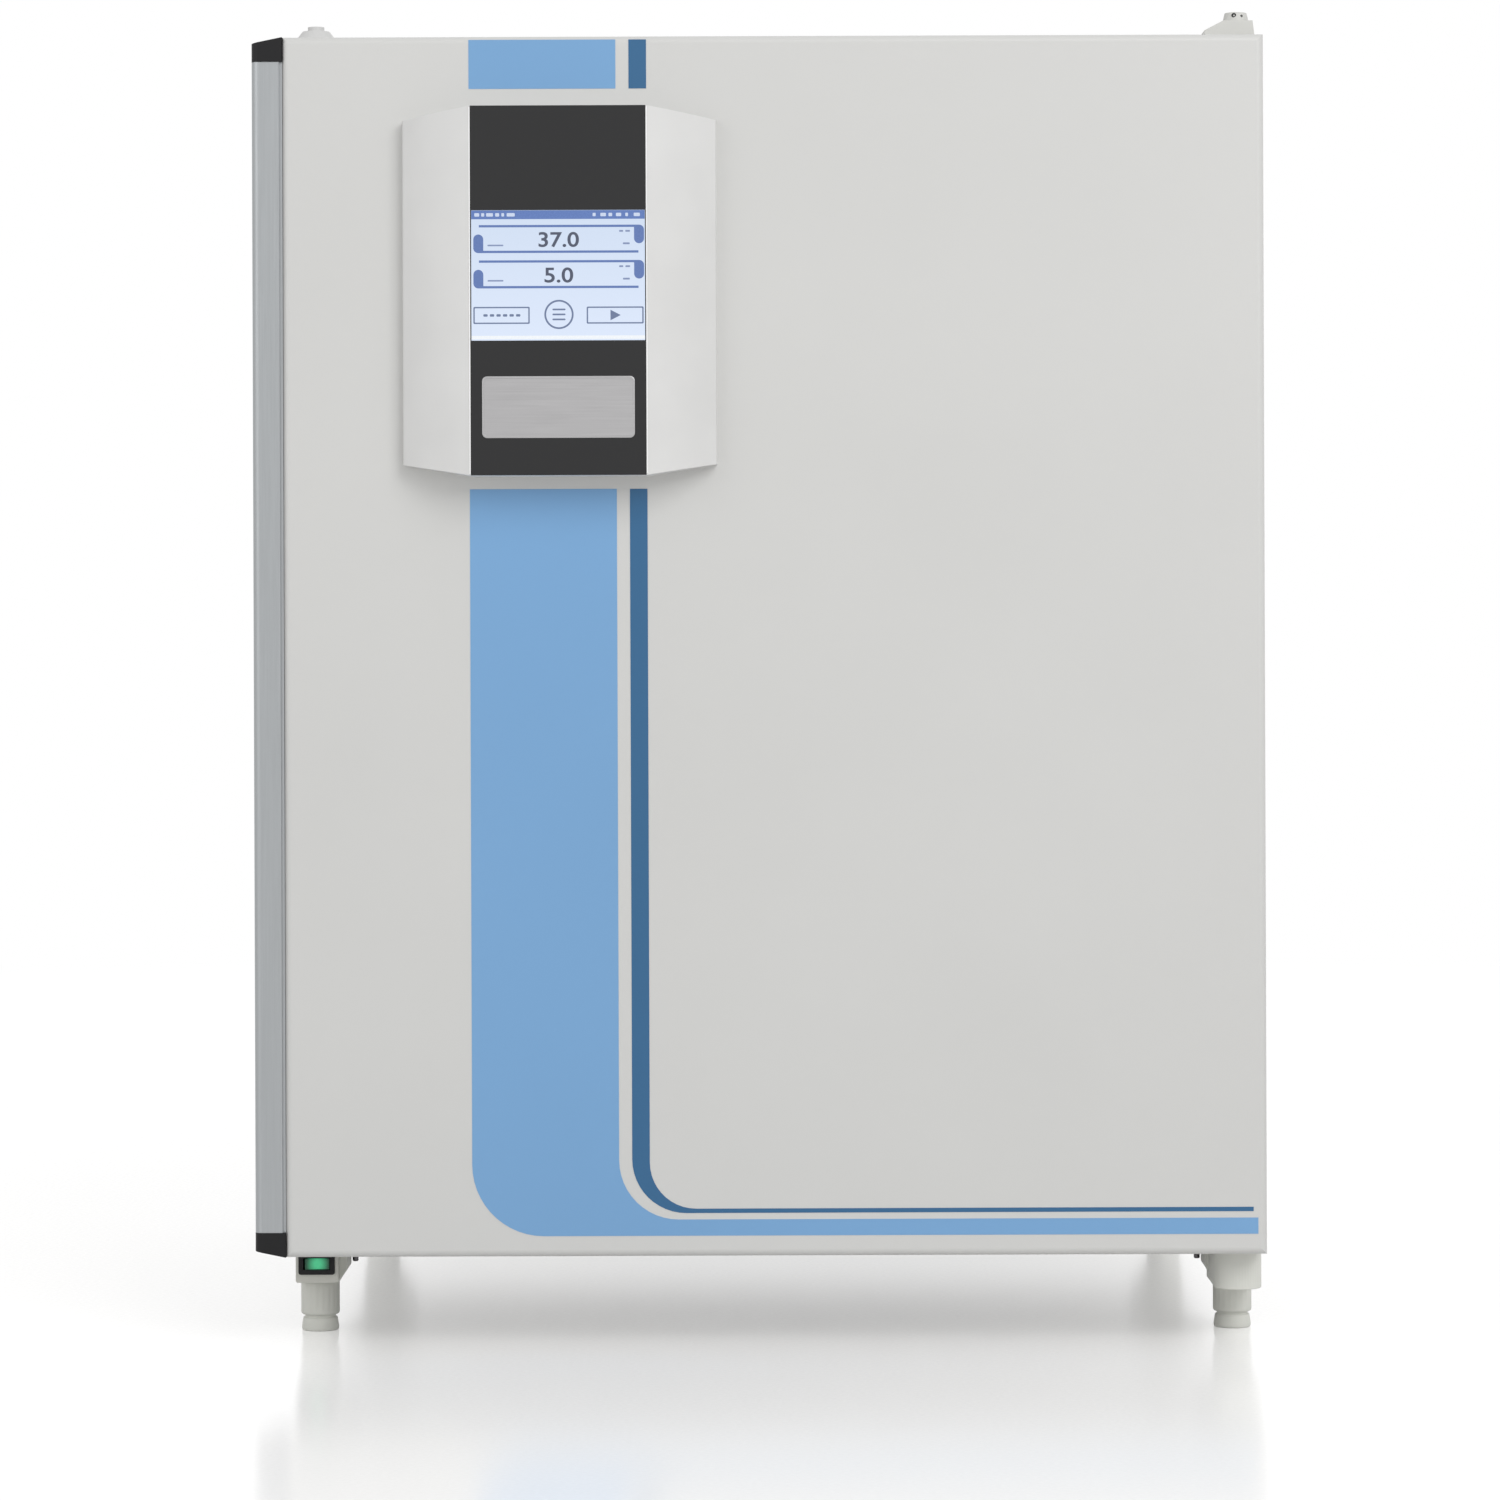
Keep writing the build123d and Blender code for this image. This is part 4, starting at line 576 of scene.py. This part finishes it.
def number(name, figures, down, material):
    """A plain number on the display, as a thin solid."""
    curve = bpy.data.curves.new(name, "FONT")
    curve.body = figures
    curve.extrude = INK_LIFT / 2
    curve.offset = DIGIT_BOLD
    source = bpy.data.objects.new(name + "_source", curve)
    mesh = bpy.data.meshes.new_from_object(source)
    bpy.data.objects.remove(source)
    xs = [v.co.x for v in mesh.vertices]
    ys = [v.co.y for v in mesh.vertices]
    scale = DIGIT_HEIGHT * MM / (max(ys) - min(ys))
    middle_x = (max(xs) + min(xs)) / 2
    middle_y = (max(ys) + min(ys)) / 2
    place = Vector((screen_low.x + VALUE_CENTRE * MM, screen_low.y - INK_LIFT / 2,
                    screen_high.z - down * MM))
    for v in mesh.vertices:
        across = (v.co.x - middle_x) * scale * DIGIT_STRETCH
        v.co = place + Vector((across, -v.co.z, (v.co.y - middle_y) * scale))
    as_piece(name, mesh, material, BODY_OF_DOOR)


def in_metres(profile):
    """A profile given in millimetres, in metres."""
    return [(radius * MM, height * MM) for radius, height in profile]


def quad_rows(row_count, count):
    """Faces between rows of points, where each row is a closed ring of as many points."""
    return [[row * count + n, row * count + (n + 1) % count,
             (row + 1) * count + (n + 1) % count, (row + 1) * count + n]
            for row in range(row_count - 1) for n in range(count)]


def lathe(profile, centre, axis, segments=48, spin=None):
    """Closed turned form: pairs of radius and distance along an axis at right angles to x."""
    along = Vector(axis)
    side = Vector((1, 0, 0))
    other = along.cross(side)
    vertices = []
    for radius, distance in profile:
        for n in range(segments):
            angle = 2 * math.pi * n / segments
            r = spin(radius, distance, angle) if spin else radius
            out = side * r * math.cos(angle) + other * r * math.sin(angle)
            vertices.append(Vector(centre) + along * distance + out)
    faces = quad_rows(len(profile), segments)
    faces.append(list(range(segments))[::-1])
    faces.append([(len(profile) - 1) * segments + n for n in range(segments)])
    return vertices, faces


def joined_piece(name, forms, material, body):
    """One piece made of several forms, each with its own points and faces."""
    vertices = []
    faces = []
    for form_vertices, form_faces in forms:
        first = len(vertices)
        vertices += form_vertices
        faces += [[first + index for index in face] for face in form_faces]
    piece = mesh_piece(name, vertices, faces, material, body)
    repaired(piece.data)
    return piece


def six_sided(apothem, angle):
    """Radius of a hexagon at an angle from one of its corners."""
    return apothem / math.cos(math.radians(math.degrees(angle) % 60 - 30))


def hexagonal(smallest, largest, share=1.0):
    """A spin for lathe that makes hexagons of the rings between two radii."""
    def spin(radius, distance, angle):
        return six_sided(radius * share, angle) if smallest < radius < largest else radius

    return spin


def plan_centre(node):
    """Middle of a CAD node, seen from above."""
    low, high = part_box(node)
    return (low.x + high.x) / 2, (low.y + high.y) / 2


WELD_DISTANCE = 0.001 * MM
SMOOTH_DEG = 35.0


def islands(node):
    """Boxes of the separate solids in a CAD node."""
    work = bmesh.new()
    work.from_mesh(frame["nodes"][node].data)
    bmesh.ops.remove_doubles(work, verts=work.verts, dist=WELD_DISTANCE)
    seen = set()
    boxes = []
    for start in work.verts:
        if start in seen:
            continue
        group = [start]
        seen.add(start)
        for vertex in group:
            for edge in vertex.link_edges:
                other = edge.other_vert(vertex)
                if other not in seen:
                    seen.add(other)
                    group.append(other)
        low = Vector([min(v.co[axis] for v in group) for axis in range(3)])
        high = Vector([max(v.co[axis] for v in group) for axis in range(3)])
        boxes.append((low, high))
    work.free()
    return boxes


def repaired(mesh, smooth_deg=SMOOTH_DEG):
    """Faces turned outwards, with sharp edges kept between smooth ones."""
    work = bmesh.new()
    work.from_mesh(mesh)
    bmesh.ops.recalc_face_normals(work, faces=work.faces)
    for face in work.faces:
        face.smooth = True
    for edge in work.edges:
        if len(edge.link_faces) == 2:
            edge.smooth = edge.calc_face_angle(0.0) < math.radians(smooth_deg)
    work.to_mesh(mesh)
    work.free()


# The levelling feet: pad and ring groove as radius and height in millimetres, then the edges of
# the grip as millimetres inwards and up, or inwards and down from its top
FOOT_SIDES = {"front_left": -1, "front_right": 1, "rear_left": -1, "rear_right": 1}
FOOT_SEGMENTS = 80
FOOT_PAD = [(11.4, 0.0), (12.1, 0.4), (12.4, 1.2), (12.3, 3.0), (11.9, 5.6), (11.5, 8.0),
            (11.2, 8.5), (10.3, 8.6), (10.2, 9.4), (10.3, 10.3)]
GRIP_LOWER_EDGE = [(1.0, 10.6), (0.3, 11.2), (0.0, 12.2)]
GRIP_STRAIGHT = (12.2, 31.6)
GRIP_RINGS = 8
GRIP_UPPER_EDGE = [(0.4, 0.3), (1.2, 0.0)]
GRIP_TOP = 32.8 * MM
FOOT_FLUTES = 20
FLUTE_DEPTH = 0.35 * MM
FLUTE_RANGE = (14.0 * MM, 30.6 * MM)
SPINDLE_RADIUS = 5.0 * MM
THREAD_RINGS = 84
THREAD_PITCH = 1.5 * MM
THREAD_DEPTH = 0.8 * MM
THREAD_START = 0.1 * MM
THREAD_RUNOUT = 1.2 * MM
SPINDLE_TAPER = 0.6 * MM


def levelling_foot(corner, material):
    """Turned foot: flared pad, ring groove, fluted grip and a threaded spindle."""
    node = f"foot_{corner}"
    low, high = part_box(node)
    grip = (high.x - low.x) / 2
    top = high.z
    start, end = GRIP_STRAIGHT
    profile = in_metres(FOOT_PAD)
    profile += [(grip - inset * MM, height * MM) for inset, height in GRIP_LOWER_EDGE]
    profile += [(grip, (start + (end - start) * n / GRIP_RINGS) * MM)
                for n in range(1, GRIP_RINGS + 1)]
    profile += [(grip - inset * MM, GRIP_TOP - drop * MM) for inset, drop in GRIP_UPPER_EDGE]
    profile += [(SPINDLE_RADIUS, GRIP_TOP + (top - GRIP_TOP) * n / THREAD_RINGS)
                for n in range(THREAD_RINGS + 1)]

    def spin(radius, distance, angle):
        if distance > GRIP_TOP + THREAD_START:
            phase = (distance / THREAD_PITCH - angle / (2 * math.pi)) % 1.0
            full = max(0.0, min(1.0, (top - distance) / THREAD_RUNOUT))
            return radius - THREAD_DEPTH * abs(2 * phase - 1) * full - SPINDLE_TAPER * (1 - full)
        if FLUTE_RANGE[0] < distance < FLUTE_RANGE[1]:
            return radius - FLUTE_DEPTH * (0.5 + 0.5 * math.cos(FOOT_FLUTES * angle)) ** 3
        return radius

    form = lathe(profile, (*plan_centre(node), 0.0), (0, 0, 1), FOOT_SEGMENTS, spin)
    piece = joined_piece(f"levelling_foot_{corner}", [form], material, f"leveller_{corner}")
    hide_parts(node)


# The blank plate: a raised rim with round edges about a slightly sunk brushed field
PLATE_CORNER = 3.3 * MM
PLATE_CORNER_STEPS = 8
PLATE_SMOOTH_DEG = 20.0
RIM_WIDTH = 1.5 * MM
RIM_ROUNDING = 0.3 * MM
RIM_SHOULDER = 0.3 * RIM_ROUNDING
FIELD_SUNK = 0.22 * MM


def blank_plate(material):
    """A thin plate whose rim stands at the solid's face and whose field lies a little deeper."""
    low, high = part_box("name_plate")
    width = high.x - low.x
    height = high.z - low.z
    levels = [(0.0, high.y - low.y), (0.0, RIM_ROUNDING), (RIM_SHOULDER, RIM_SHOULDER),
              (RIM_ROUNDING, 0.0), (RIM_WIDTH - RIM_ROUNDING, 0.0), (RIM_WIDTH, FIELD_SUNK)]
    vertices = []
    for inset, depth in levels:
        outline = rounded_rectangle(inset, inset, width - inset, height - inset,
                                    PLATE_CORNER - inset, PLATE_CORNER_STEPS)
        vertices += [(low.x + x, low.y + depth, high.z - down) for x, down in outline]
    count = len(vertices) // len(levels)
    faces = [list(range(count)), list(range((len(levels) - 1) * count, len(vertices)))[::-1]]
    faces += quad_rows(len(levels), count)
    piece = mesh_piece("blank_plate", vertices, faces, material, BODY_OF_DOOR)
    repaired(piece.data, PLATE_SMOOTH_DEG)
    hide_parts("name_plate")


def prism(outline, axis, start, end):
    """A closed straight form: pairs across the axis, run from start to end along it."""
    if axis == "y":
        rows = [[(a, place, b) for a, b in outline] for place in (start, end)]
    else:
        rows = [[(a, b, place) for a, b in outline] for place in (start, end)]
    count = len(outline)
    faces = [list(range(count)), list(range(count, 2 * count))[::-1]] + quad_rows(2, count)
    return rows[0] + rows[1], faces


def scratch_object(form):
    """A form as an object that only serves to make another."""
    mesh = bpy.data.meshes.new("scratch")
    mesh.from_pydata([tuple(v) for v in form[0]], [], form[1])
    work = bmesh.new()
    work.from_mesh(mesh)
    bmesh.ops.recalc_face_normals(work, faces=work.faces)
    work.to_mesh(mesh)
    work.free()
    item = bpy.data.objects.new("scratch", mesh)
    bpy.context.scene.collection.objects.link(item)
    return item


BEVEL_SEGMENTS = 3
BEVEL_ANGLE_DEG = 28


def fused(name, forms, cuts, rounding, material, node):
    """One casting made of several forms less the cuts, with its edges rounded."""
    items = [scratch_object(form) for form in forms + cuts]
    base = items[0]
    for index, item in enumerate(items[1:], 1):
        modifier = base.modifiers.new("join", "BOOLEAN")
        modifier.solver = "EXACT"
        modifier.operation = "UNION" if index < len(forms) else "DIFFERENCE"
        modifier.object = item
    bevel = base.modifiers.new("bevel", "BEVEL")
    bevel.width = rounding
    bevel.segments = BEVEL_SEGMENTS
    bevel.limit_method = "ANGLE"
    bevel.angle_limit = math.radians(BEVEL_ANGLE_DEG)
    bevel.harden_normals = True
    for polygon in base.data.polygons:
        polygon.use_smooth = True
    graph = bpy.context.evaluated_depsgraph_get()
    mesh = bpy.data.meshes.new_from_object(base.evaluated_get(graph), depsgraph=graph)
    for item in items:
        bpy.data.objects.remove(item)
    piece = as_piece(name, mesh, material, "cabinet")
    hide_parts(node)


# Foot blocks, and the nose of the right front one, which carries the door's lower pin
BLOCK_WIDTH = 33.5 * MM
BLOCK_DEPTH = 32.0 * MM
BLOCK_SLANT = (6.0 * MM, 9.0 * MM)
BLOCK_ROUNDING = 1.6 * MM
BORE_RADIUS = 5.05 * MM
BORE_DEPTH = 19.3 * MM
BORE_SEGMENTS = 32
NOSE_WIDTH = 31.0 * MM
NOSE_ROOT = 16.0 * MM
NOSE_DROP = 1.5 * MM
NOSE_INSET = 0.5 * MM
NOSE_STEPS = 24
PIN_RADIUS = 5.0 * MM
PIN_DEPTH = 18.0 * MM


def block_outline(low, high, side):
    """Front view of a foot block with its slanted inner lower edge; side is 1 on the right."""
    outer = high.x if side > 0 else low.x
    inner = outer - side * BLOCK_WIDTH
    return [(outer, high.z), (outer, low.z), (inner + side * BLOCK_SLANT[0], low.z),
            (inner, low.z + BLOCK_SLANT[1]), (inner, high.z)]


def foot_bore(corner, low_z):
    """The hole that the spindle of a foot turns in."""
    centre = (*plan_centre(f"foot_{corner}"), low_z - MM)
    profile = [(BORE_RADIUS, 0.0), (BORE_RADIUS, BORE_DEPTH + MM)]
    return lathe(profile, centre, (0, 0, 1), BORE_SEGMENTS)


def foot_block(corner, side, material):
    """A foot block with rounded edges and the bore of its foot."""
    low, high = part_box(f"foot_block_{corner}")
    body = prism(block_outline(low, high, side), "y", low.y, high.y)
    fused(f"block_{corner}", [body], [foot_bore(corner, low.z)], BLOCK_ROUNDING, material,
          f"foot_block_{corner}")


def door_pin(low_z, high_z):
    """The bore of the outer door's pin between two heights."""
    profile = [(PIN_RADIUS, 0.0), (PIN_RADIUS, high_z - low_z)]
    return lathe(profile, (*plan_centre("hinge_pins"), low_z), (0, 0, 1), BORE_SEGMENTS)


def hinge_foot_block(material):
    """Right front block, with a round nose that carries the door's lower pin."""
    low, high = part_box("hinge_block")
    body = prism(block_outline(low, high, 1), "y", high.y - BLOCK_DEPTH, high.y)
    radius = NOSE_WIDTH / 2
    middle_x = high.x - radius
    front_y = low.y + NOSE_INSET
    root_y = high.y - NOSE_ROOT
    top = high.z - NOSE_DROP
    plan = [(high.x, root_y), (middle_x - radius, root_y)]
    plan += arc((middle_x, front_y + radius), radius, 180, 360, NOSE_STEPS)
    nose = prism(plan, "z", low.z, top)
    cuts = [foot_bore("front_right", low.z), door_pin(top - PIN_DEPTH, top + MM)]
    fused("hinge_foot_block", [body, nose], cuts, BLOCK_ROUNDING, material,
          "hinge_block")


# The upper hinge; WEDGE is the arm's front view, in millimetres from its lower left corner
ARM_WIDTH = 36.0 * MM
ARM_SHIFT = 0.3 * MM
ARM_SEAT = 1.5 * MM
ARM_ROUNDING = 0.9 * MM
ARM_OVERLAP = 8.0 * MM
WEDGE = [(0.0, 4.0), (12.5, 10.5), (31.6, 10.5), (32.9, 0.0)]
PLATE_STEP = 5.5 * MM
PLATE_OVERLAP = 6.0 * MM
CAP_RADII = (10.2 * MM, 7.2 * MM)
CAP_FOOT = 5.5 * MM
CAP_SEGMENTS = 64


def hinge_bracket(material):
    """Upper hinge: a plate on the cabinet, a wedge-shaped arm over the door and the pin's cap."""
    low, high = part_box("hinge_arm")
    pins_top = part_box("hinge_pins")[1].z
    cabinet_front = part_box("outer_housing")[0].y
    arm_rear = cabinet_front + ARM_OVERLAP
    seat = low.z + ARM_SEAT
    arm_left = high.x + ARM_SHIFT - ARM_WIDTH

    def slab(left, right, rear):
        step = low.z + PLATE_STEP
        outline = [(left, low.z), (left, step), (right, step), (right, low.z)]
        return prism(outline, "y", cabinet_front, rear)

    outline = [(arm_left, seat)] + [(arm_left + a * MM, seat + b * MM) for a, b in WEDGE]
    arm = prism(outline, "y", low.y, arm_rear)
    plate = slab(low.x, arm_left + PLATE_OVERLAP, high.y)
    root = slab(arm_left, high.x - PLATE_OVERLAP, arm_rear)
    cap = lathe([(CAP_RADII[0], 0.0), (CAP_RADII[1], high.z - low.z - CAP_FOOT)],
                (*plan_centre("hinge_pins"), low.z + CAP_FOOT), (0, 0, 1), CAP_SEGMENTS)
    fused("hinge_bracket", [arm, plate, root, cap], [door_pin(seat - MM, pins_top)],
          ARM_ROUNDING, material, "hinge_arm")


# Apothem of a hexagon as a share of the radius of its corners, and steps round small fasteners
HEX_SHARE = 0.87
SMALL_SEGMENTS = 24

# Grub screws in the cap: millimetres right of the pin, down from the cap's top, and radius;
# the profile is in shares of the radius and of the depth, and its narrow rings are the socket
GRUB_SCREWS = [(-1.8, 2.2, 1.55), (3.2, 2.6, 0.8)]
GRUB_PROFILE = [(1.0, 0.0), (1.0, 0.85), (0.85, 1.0), (0.5, 1.0), (0.5, 0.5)]
GRUB_SOCKET = 0.6
GRUB_DEPTH = 1.6 * MM
GRUB_SINK = 0.35 * MM


def grub_screws(material):
    """Two small dark socket screws in the front of the pin's cap."""
    low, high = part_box("hinge_arm")
    pin_x, pin_y = plan_centre("hinge_pins")
    height = high.z - low.z - CAP_FOOT
    forms = []
    for across, drop, radius in GRUB_SCREWS:
        slope = CAP_RADII[1] + (CAP_RADII[0] - CAP_RADII[1]) * drop * MM / height
        front_y = pin_y - math.sqrt(slope ** 2 - (across * MM) ** 2) - GRUB_SINK
        r = radius * MM
        profile = [(r * width, GRUB_DEPTH * depth) for width, depth in GRUB_PROFILE]
        centre = (pin_x + across * MM, front_y + GRUB_DEPTH, high.z - drop * MM)
        forms.append(lathe(profile, centre, (0, -1, 0), SMALL_SEGMENTS,
                           hexagonal(0.0, GRUB_SOCKET * r, HEX_SHARE)))
    joined_piece("hinge_grub_screws", forms, material, "cabinet")


# Domed screw heads: radius and height in millimetres; rings inside the socket are hexagons
HEAD_PROFILE = [(4.0, 0.0), (4.0, 0.7), (3.75, 1.35), (3.2, 1.95), (2.5, 2.3), (2.0, 2.4),
                (1.55, 2.4), (1.5, 1.1)]
HEAD_SOCKET = 1.6 * MM
HEAD_SEGMENTS = 36


def socket_heads(material):
    """Domed screw heads with a hexagon socket, at the place of each head in the CAD node."""
    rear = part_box("rear_panel")[1].y
    forms = []
    for low, high in islands("screws"):
        middle_x = (low.x + high.x) / 2
        if high.y > rear:
            centre = (middle_x, low.y, (low.z + high.z) / 2)
            axis = (0, 1, 0)
        else:
            centre = (middle_x, (low.y + high.y) / 2, low.z)
            axis = (0, 0, 1)
        forms.append(lathe(in_metres(HEAD_PROFILE), centre, axis, HEAD_SEGMENTS,
                           hexagonal(0.0, HEAD_SOCKET)))
    piece = joined_piece("socket_head_screws", forms, material, "cabinet")
    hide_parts("screws")


# Bolt ends under the base: radius and length in millimetres; the wide rings are a nut
BOLT_PROFILE = [(3.8, 0.0), (3.8, 3.0), (2.0, 3.0), (2.0, 13.5), (1.5, 14.1)]
NUT_FROM = 3.0 * MM
BOLT_GAP = 4.0 * MM


def base_bolts(material):
    """Ends of the bolts through the base beside the foot blocks."""
    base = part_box("base_plate")[0].z
    forms = []
    for corner, side in FOOT_SIDES.items():
        low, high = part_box("hinge_block" if corner == "front_right" else f"foot_block_{corner}")
        x = (high.x if side > 0 else low.x) - side * (BLOCK_WIDTH + BOLT_GAP)
        y = plan_centre(f"foot_{corner}")[1]
        forms.append(lathe(in_metres(BOLT_PROFILE), (x, y, base), (0, 0, -1), SMALL_SEGMENTS,
                           hexagonal(NUT_FROM, math.inf, HEX_SHARE)))
    joined_piece("base_bolts", forms, material, "cabinet")


# Hose nipples: hexagon body, one barb from its start, and the bored end, in millimetres
NIPPLE_BODY = [(7.79, 0.0), (7.79, 7.2), (7.0, 8.0), (3.3, 8.0), (3.1, 9.4)]
NIPPLE_HEX_FROM = 7.2 * MM
BARB = [(4.0, 0.0), (3.9, 0.5), (3.1, 4.2)]
BARB_STARTS = (9.6, 14.0, 18.4)
NIPPLE_END = [(2.7, 24.0), (1.7, 24.0), (1.7, 15.0)]


def hose_nipples(material):
    """Two hexagon bodies with barbed and bored hose ends."""
    barbs = [(radius, start + along) for start in BARB_STARTS for radius, along in BARB]
    profile = in_metres(NIPPLE_BODY + barbs + NIPPLE_END)
    forms = []
    for low, high in islands("gas_inlets"):
        centre = ((low.x + high.x) / 2, low.y, (low.z + high.z) / 2)
        forms.append(lathe(profile, centre, (0, 1, 0),
                           spin=hexagonal(NIPPLE_HEX_FROM, math.inf)))
    piece = joined_piece("hose_nipples", forms, material, "cabinet")
    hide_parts("gas_inlets")


# Painted highlights on the control housing's edges beside the fascia: width and lift of the
# near-white strips
PAINTED_HIGHLIGHT_WIDTH = 0.9 * MM
PAINTED_HIGHLIGHT_LIFT = 0.2 * MM


def fascia_painted_highlights(material):
    """Painted highlights: near-white strips at the control housing's crest along both sides of the
    fascia, standing in for light caught by its edges.
    """
    fascia_low, fascia_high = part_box("control_fascia")
    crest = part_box("control_housing")[0].y
    forms = []
    for x0, x1 in ((fascia_low.x - PAINTED_HIGHLIGHT_WIDTH, fascia_low.x),
                   (fascia_high.x, fascia_high.x + PAINTED_HIGHLIGHT_WIDTH)):
        outline = [(x0, crest), (x0 + PAINTED_HIGHLIGHT_LIFT, crest - PAINTED_HIGHLIGHT_LIFT),
                   (x1 - PAINTED_HIGHLIGHT_LIFT, crest - PAINTED_HIGHLIGHT_LIFT), (x1, crest)]
        forms.append(prism(outline, "z", fascia_low.z + MM, fascia_high.z - MM))
    joined_piece("fascia_painted_highlights", forms, material, BODY_OF_DOOR)


def seen_directly(nodes, links):
    """One for camera rays, also by way of gloss or glass, and nought for the light on things."""
    path = nodes.new("ShaderNodeLightPath")
    seen = path.outputs["Is Camera Ray"]
    for label in ("Is Glossy Ray", "Is Transmission Ray"):
        either = nodes.new("ShaderNodeMath")
        either.operation = "MAXIMUM"
        links.new(seen, either.inputs[0])
        links.new(path.outputs[label], either.inputs[1])
        seen = either.outputs["Value"]
    return seen


def multiplied(nodes, links, first, second):
    """One output times another, or times a number."""
    node = nodes.new("ShaderNodeMath")
    node.operation = "MULTIPLY"
    links.new(first, node.inputs[0])
    if isinstance(second, float):
        node.inputs[1].default_value = second
    else:
        links.new(second, node.inputs[1])
    return node.outputs["Value"]


# The floor's own light, half its width, and the distances between which it turns white; the
# strength of the light from all round
FLOOR_LIFT = 0.27
FLOOR_HALF = 14.0
FLOOR_NEAR = 0.9
FLOOR_FAR = 3.6
WORLD_LIGHT = 0.57


def floor_finish():
    """Pale glossy bench surface, which fades into the white room away from the object."""
    graph = finish("floor_finish", srgb(230, 229, 228), 0.17, tone=0.006, tone_size=0.5,
                   grain=3.0 * MM, relief=0.01 * MM, spread=0.03)
    seen = seen_directly(graph.nodes, graph.links)
    graph.feed("Emission Strength", multiplied(graph.nodes, graph.links, seen, FLOOR_LIFT))
    graph.set(Emission_Color=srgb(255, 255, 255))
    distance = graph.nodes.new("ShaderNodeVectorMath")
    distance.operation = "LENGTH"
    graph.links.new(graph.coordinates, distance.inputs[0])
    away = graph.ranged(distance.outputs["Value"], 0.0, 1.0, (FLOOR_NEAR, FLOOR_FAR))
    white = graph.nodes.new("ShaderNodeEmission")
    mix = graph.nodes.new("ShaderNodeMixShader")
    graph.links.new(multiplied(graph.nodes, graph.links, seen, away), mix.inputs["Fac"])
    graph.links.new(graph.shader.outputs["BSDF"], mix.inputs[1])
    graph.links.new(white.outputs["Emission"], mix.inputs[2])
    graph.links.new(mix.outputs["Shader"], graph.nodes["Material Output"].inputs["Surface"])
    return graph.material


def floor():
    """A large even floor."""
    mesh = bpy.data.meshes.new("floor")
    half = FLOOR_HALF
    corners = [(-half, -half, 0), (half, -half, 0), (half, half, 0), (-half, half, 0)]
    mesh.from_pydata(corners, [], [[0, 1, 2, 3]])
    mesh.materials.append(floor_finish())
    piece = bpy.data.objects.new("floor", mesh)
    bpy.context.scene.collection.objects.link(piece)


def world():
    """Even light from all round; the camera, gloss and glass see it as white."""
    scene_world = bpy.data.worlds.new("studio")
    bpy.context.scene.world = scene_world
    scene_world.use_nodes = True
    nodes = scene_world.node_tree.nodes
    links = scene_world.node_tree.links
    background = nodes["Background"]
    background.inputs["Color"].default_value = (1, 1, 1, 1)
    strength = nodes.new("ShaderNodeMapRange")
    strength.inputs["To Min"].default_value = WORLD_LIGHT
    strength.inputs["To Max"].default_value = 1.0
    links.new(seen_directly(nodes, links), strength.inputs["Value"])
    links.new(strength.outputs["Result"], background.inputs["Strength"])


# Name, place and power of each lamp
LAMPS = [("key_lamp", (1.7, -3.3, 2.6), 64.0), ("fill_lamp", (-2.6, -2.6, 1.6), 15.0)]
LAMP_SIZE = 2.4


def soft_lamp(name, place, target, size, power):
    """A square lamp turned towards a place."""
    data = bpy.data.lights.new(name, "AREA")
    data.shape = "SQUARE"
    data.size = size
    data.energy = power
    lamp = bpy.data.objects.new(name, data)
    lamp.location = place
    lamp.rotation_euler = (Vector(target) - Vector(place)).to_track_quat("-Z", "Y").to_euler()
    bpy.context.scene.collection.objects.link(lamp)


def camera():
    """The photograph's view: level, square to the door, with the frame shifted up and left."""
    door_low, door_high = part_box("door_shell")
    data = bpy.data.cameras.new("camera")
    data.sensor_width = SENSOR_MM
    data.lens = SENSOR_MM * PX_PER_METRE * CAMERA_DISTANCE / PHOTO_PX
    data.shift_x = (PHOTO_PX / 2 - AXIS_PX[0]) / PHOTO_PX
    data.shift_y = (AXIS_PX[1] - PHOTO_PX / 2) / PHOTO_PX
    eye = bpy.data.objects.new("camera", data)
    eye.location = (
        (door_low.x + door_high.x) / 2 + (AXIS_PX[0] - DOOR_MIDDLE_PX) / PX_PER_METRE,
        door_low.y - CAMERA_DISTANCE,
        door_high.z - (AXIS_PX[1] - DOOR_TOP_PX) / PX_PER_METRE,
    )
    eye.rotation_euler = (math.radians(90), math.radians(CAMERA_ROLL_DEG), 0)
    bpy.context.scene.collection.objects.link(eye)
    bpy.context.scene.camera = eye


finishes = dress_nodes()
display_art()
blank_plate(finishes["plate_metal"])
# A near-white glossy finish for the painted highlights beside the fascia
fascia_painted_highlights(moulded("painted_edge_highlight_finish", srgb(250, 250, 250), 0.25).material)
for corner_name, corner_side in FOOT_SIDES.items():
    levelling_foot(corner_name, finishes["foot_plastic"])
    if corner_name != "front_right":
        foot_block(corner_name, corner_side, finishes["foot_plastic"])
hinge_foot_block(finishes["foot_plastic"])
hinge_bracket(finishes["bracket_plastic"])
grub_screws(finishes["cap_plastic"])
socket_heads(finishes["screw_steel"])
base_bolts(brushed("bolt_finish", srgb(92, 90, 92), 0.4, "z").material)
hose_nipples(finishes["nipple_brass"])

floor()
world()
object_middle = (Vector(cad_box[0]) + Vector(cad_box[1])) / 2
for lamp_name, lamp_place, lamp_power in LAMPS:
    soft_lamp(lamp_name, lamp_place, object_middle, LAMP_SIZE, lamp_power)
camera()
bpy.context.scene.view_settings.view_transform = "Standard"
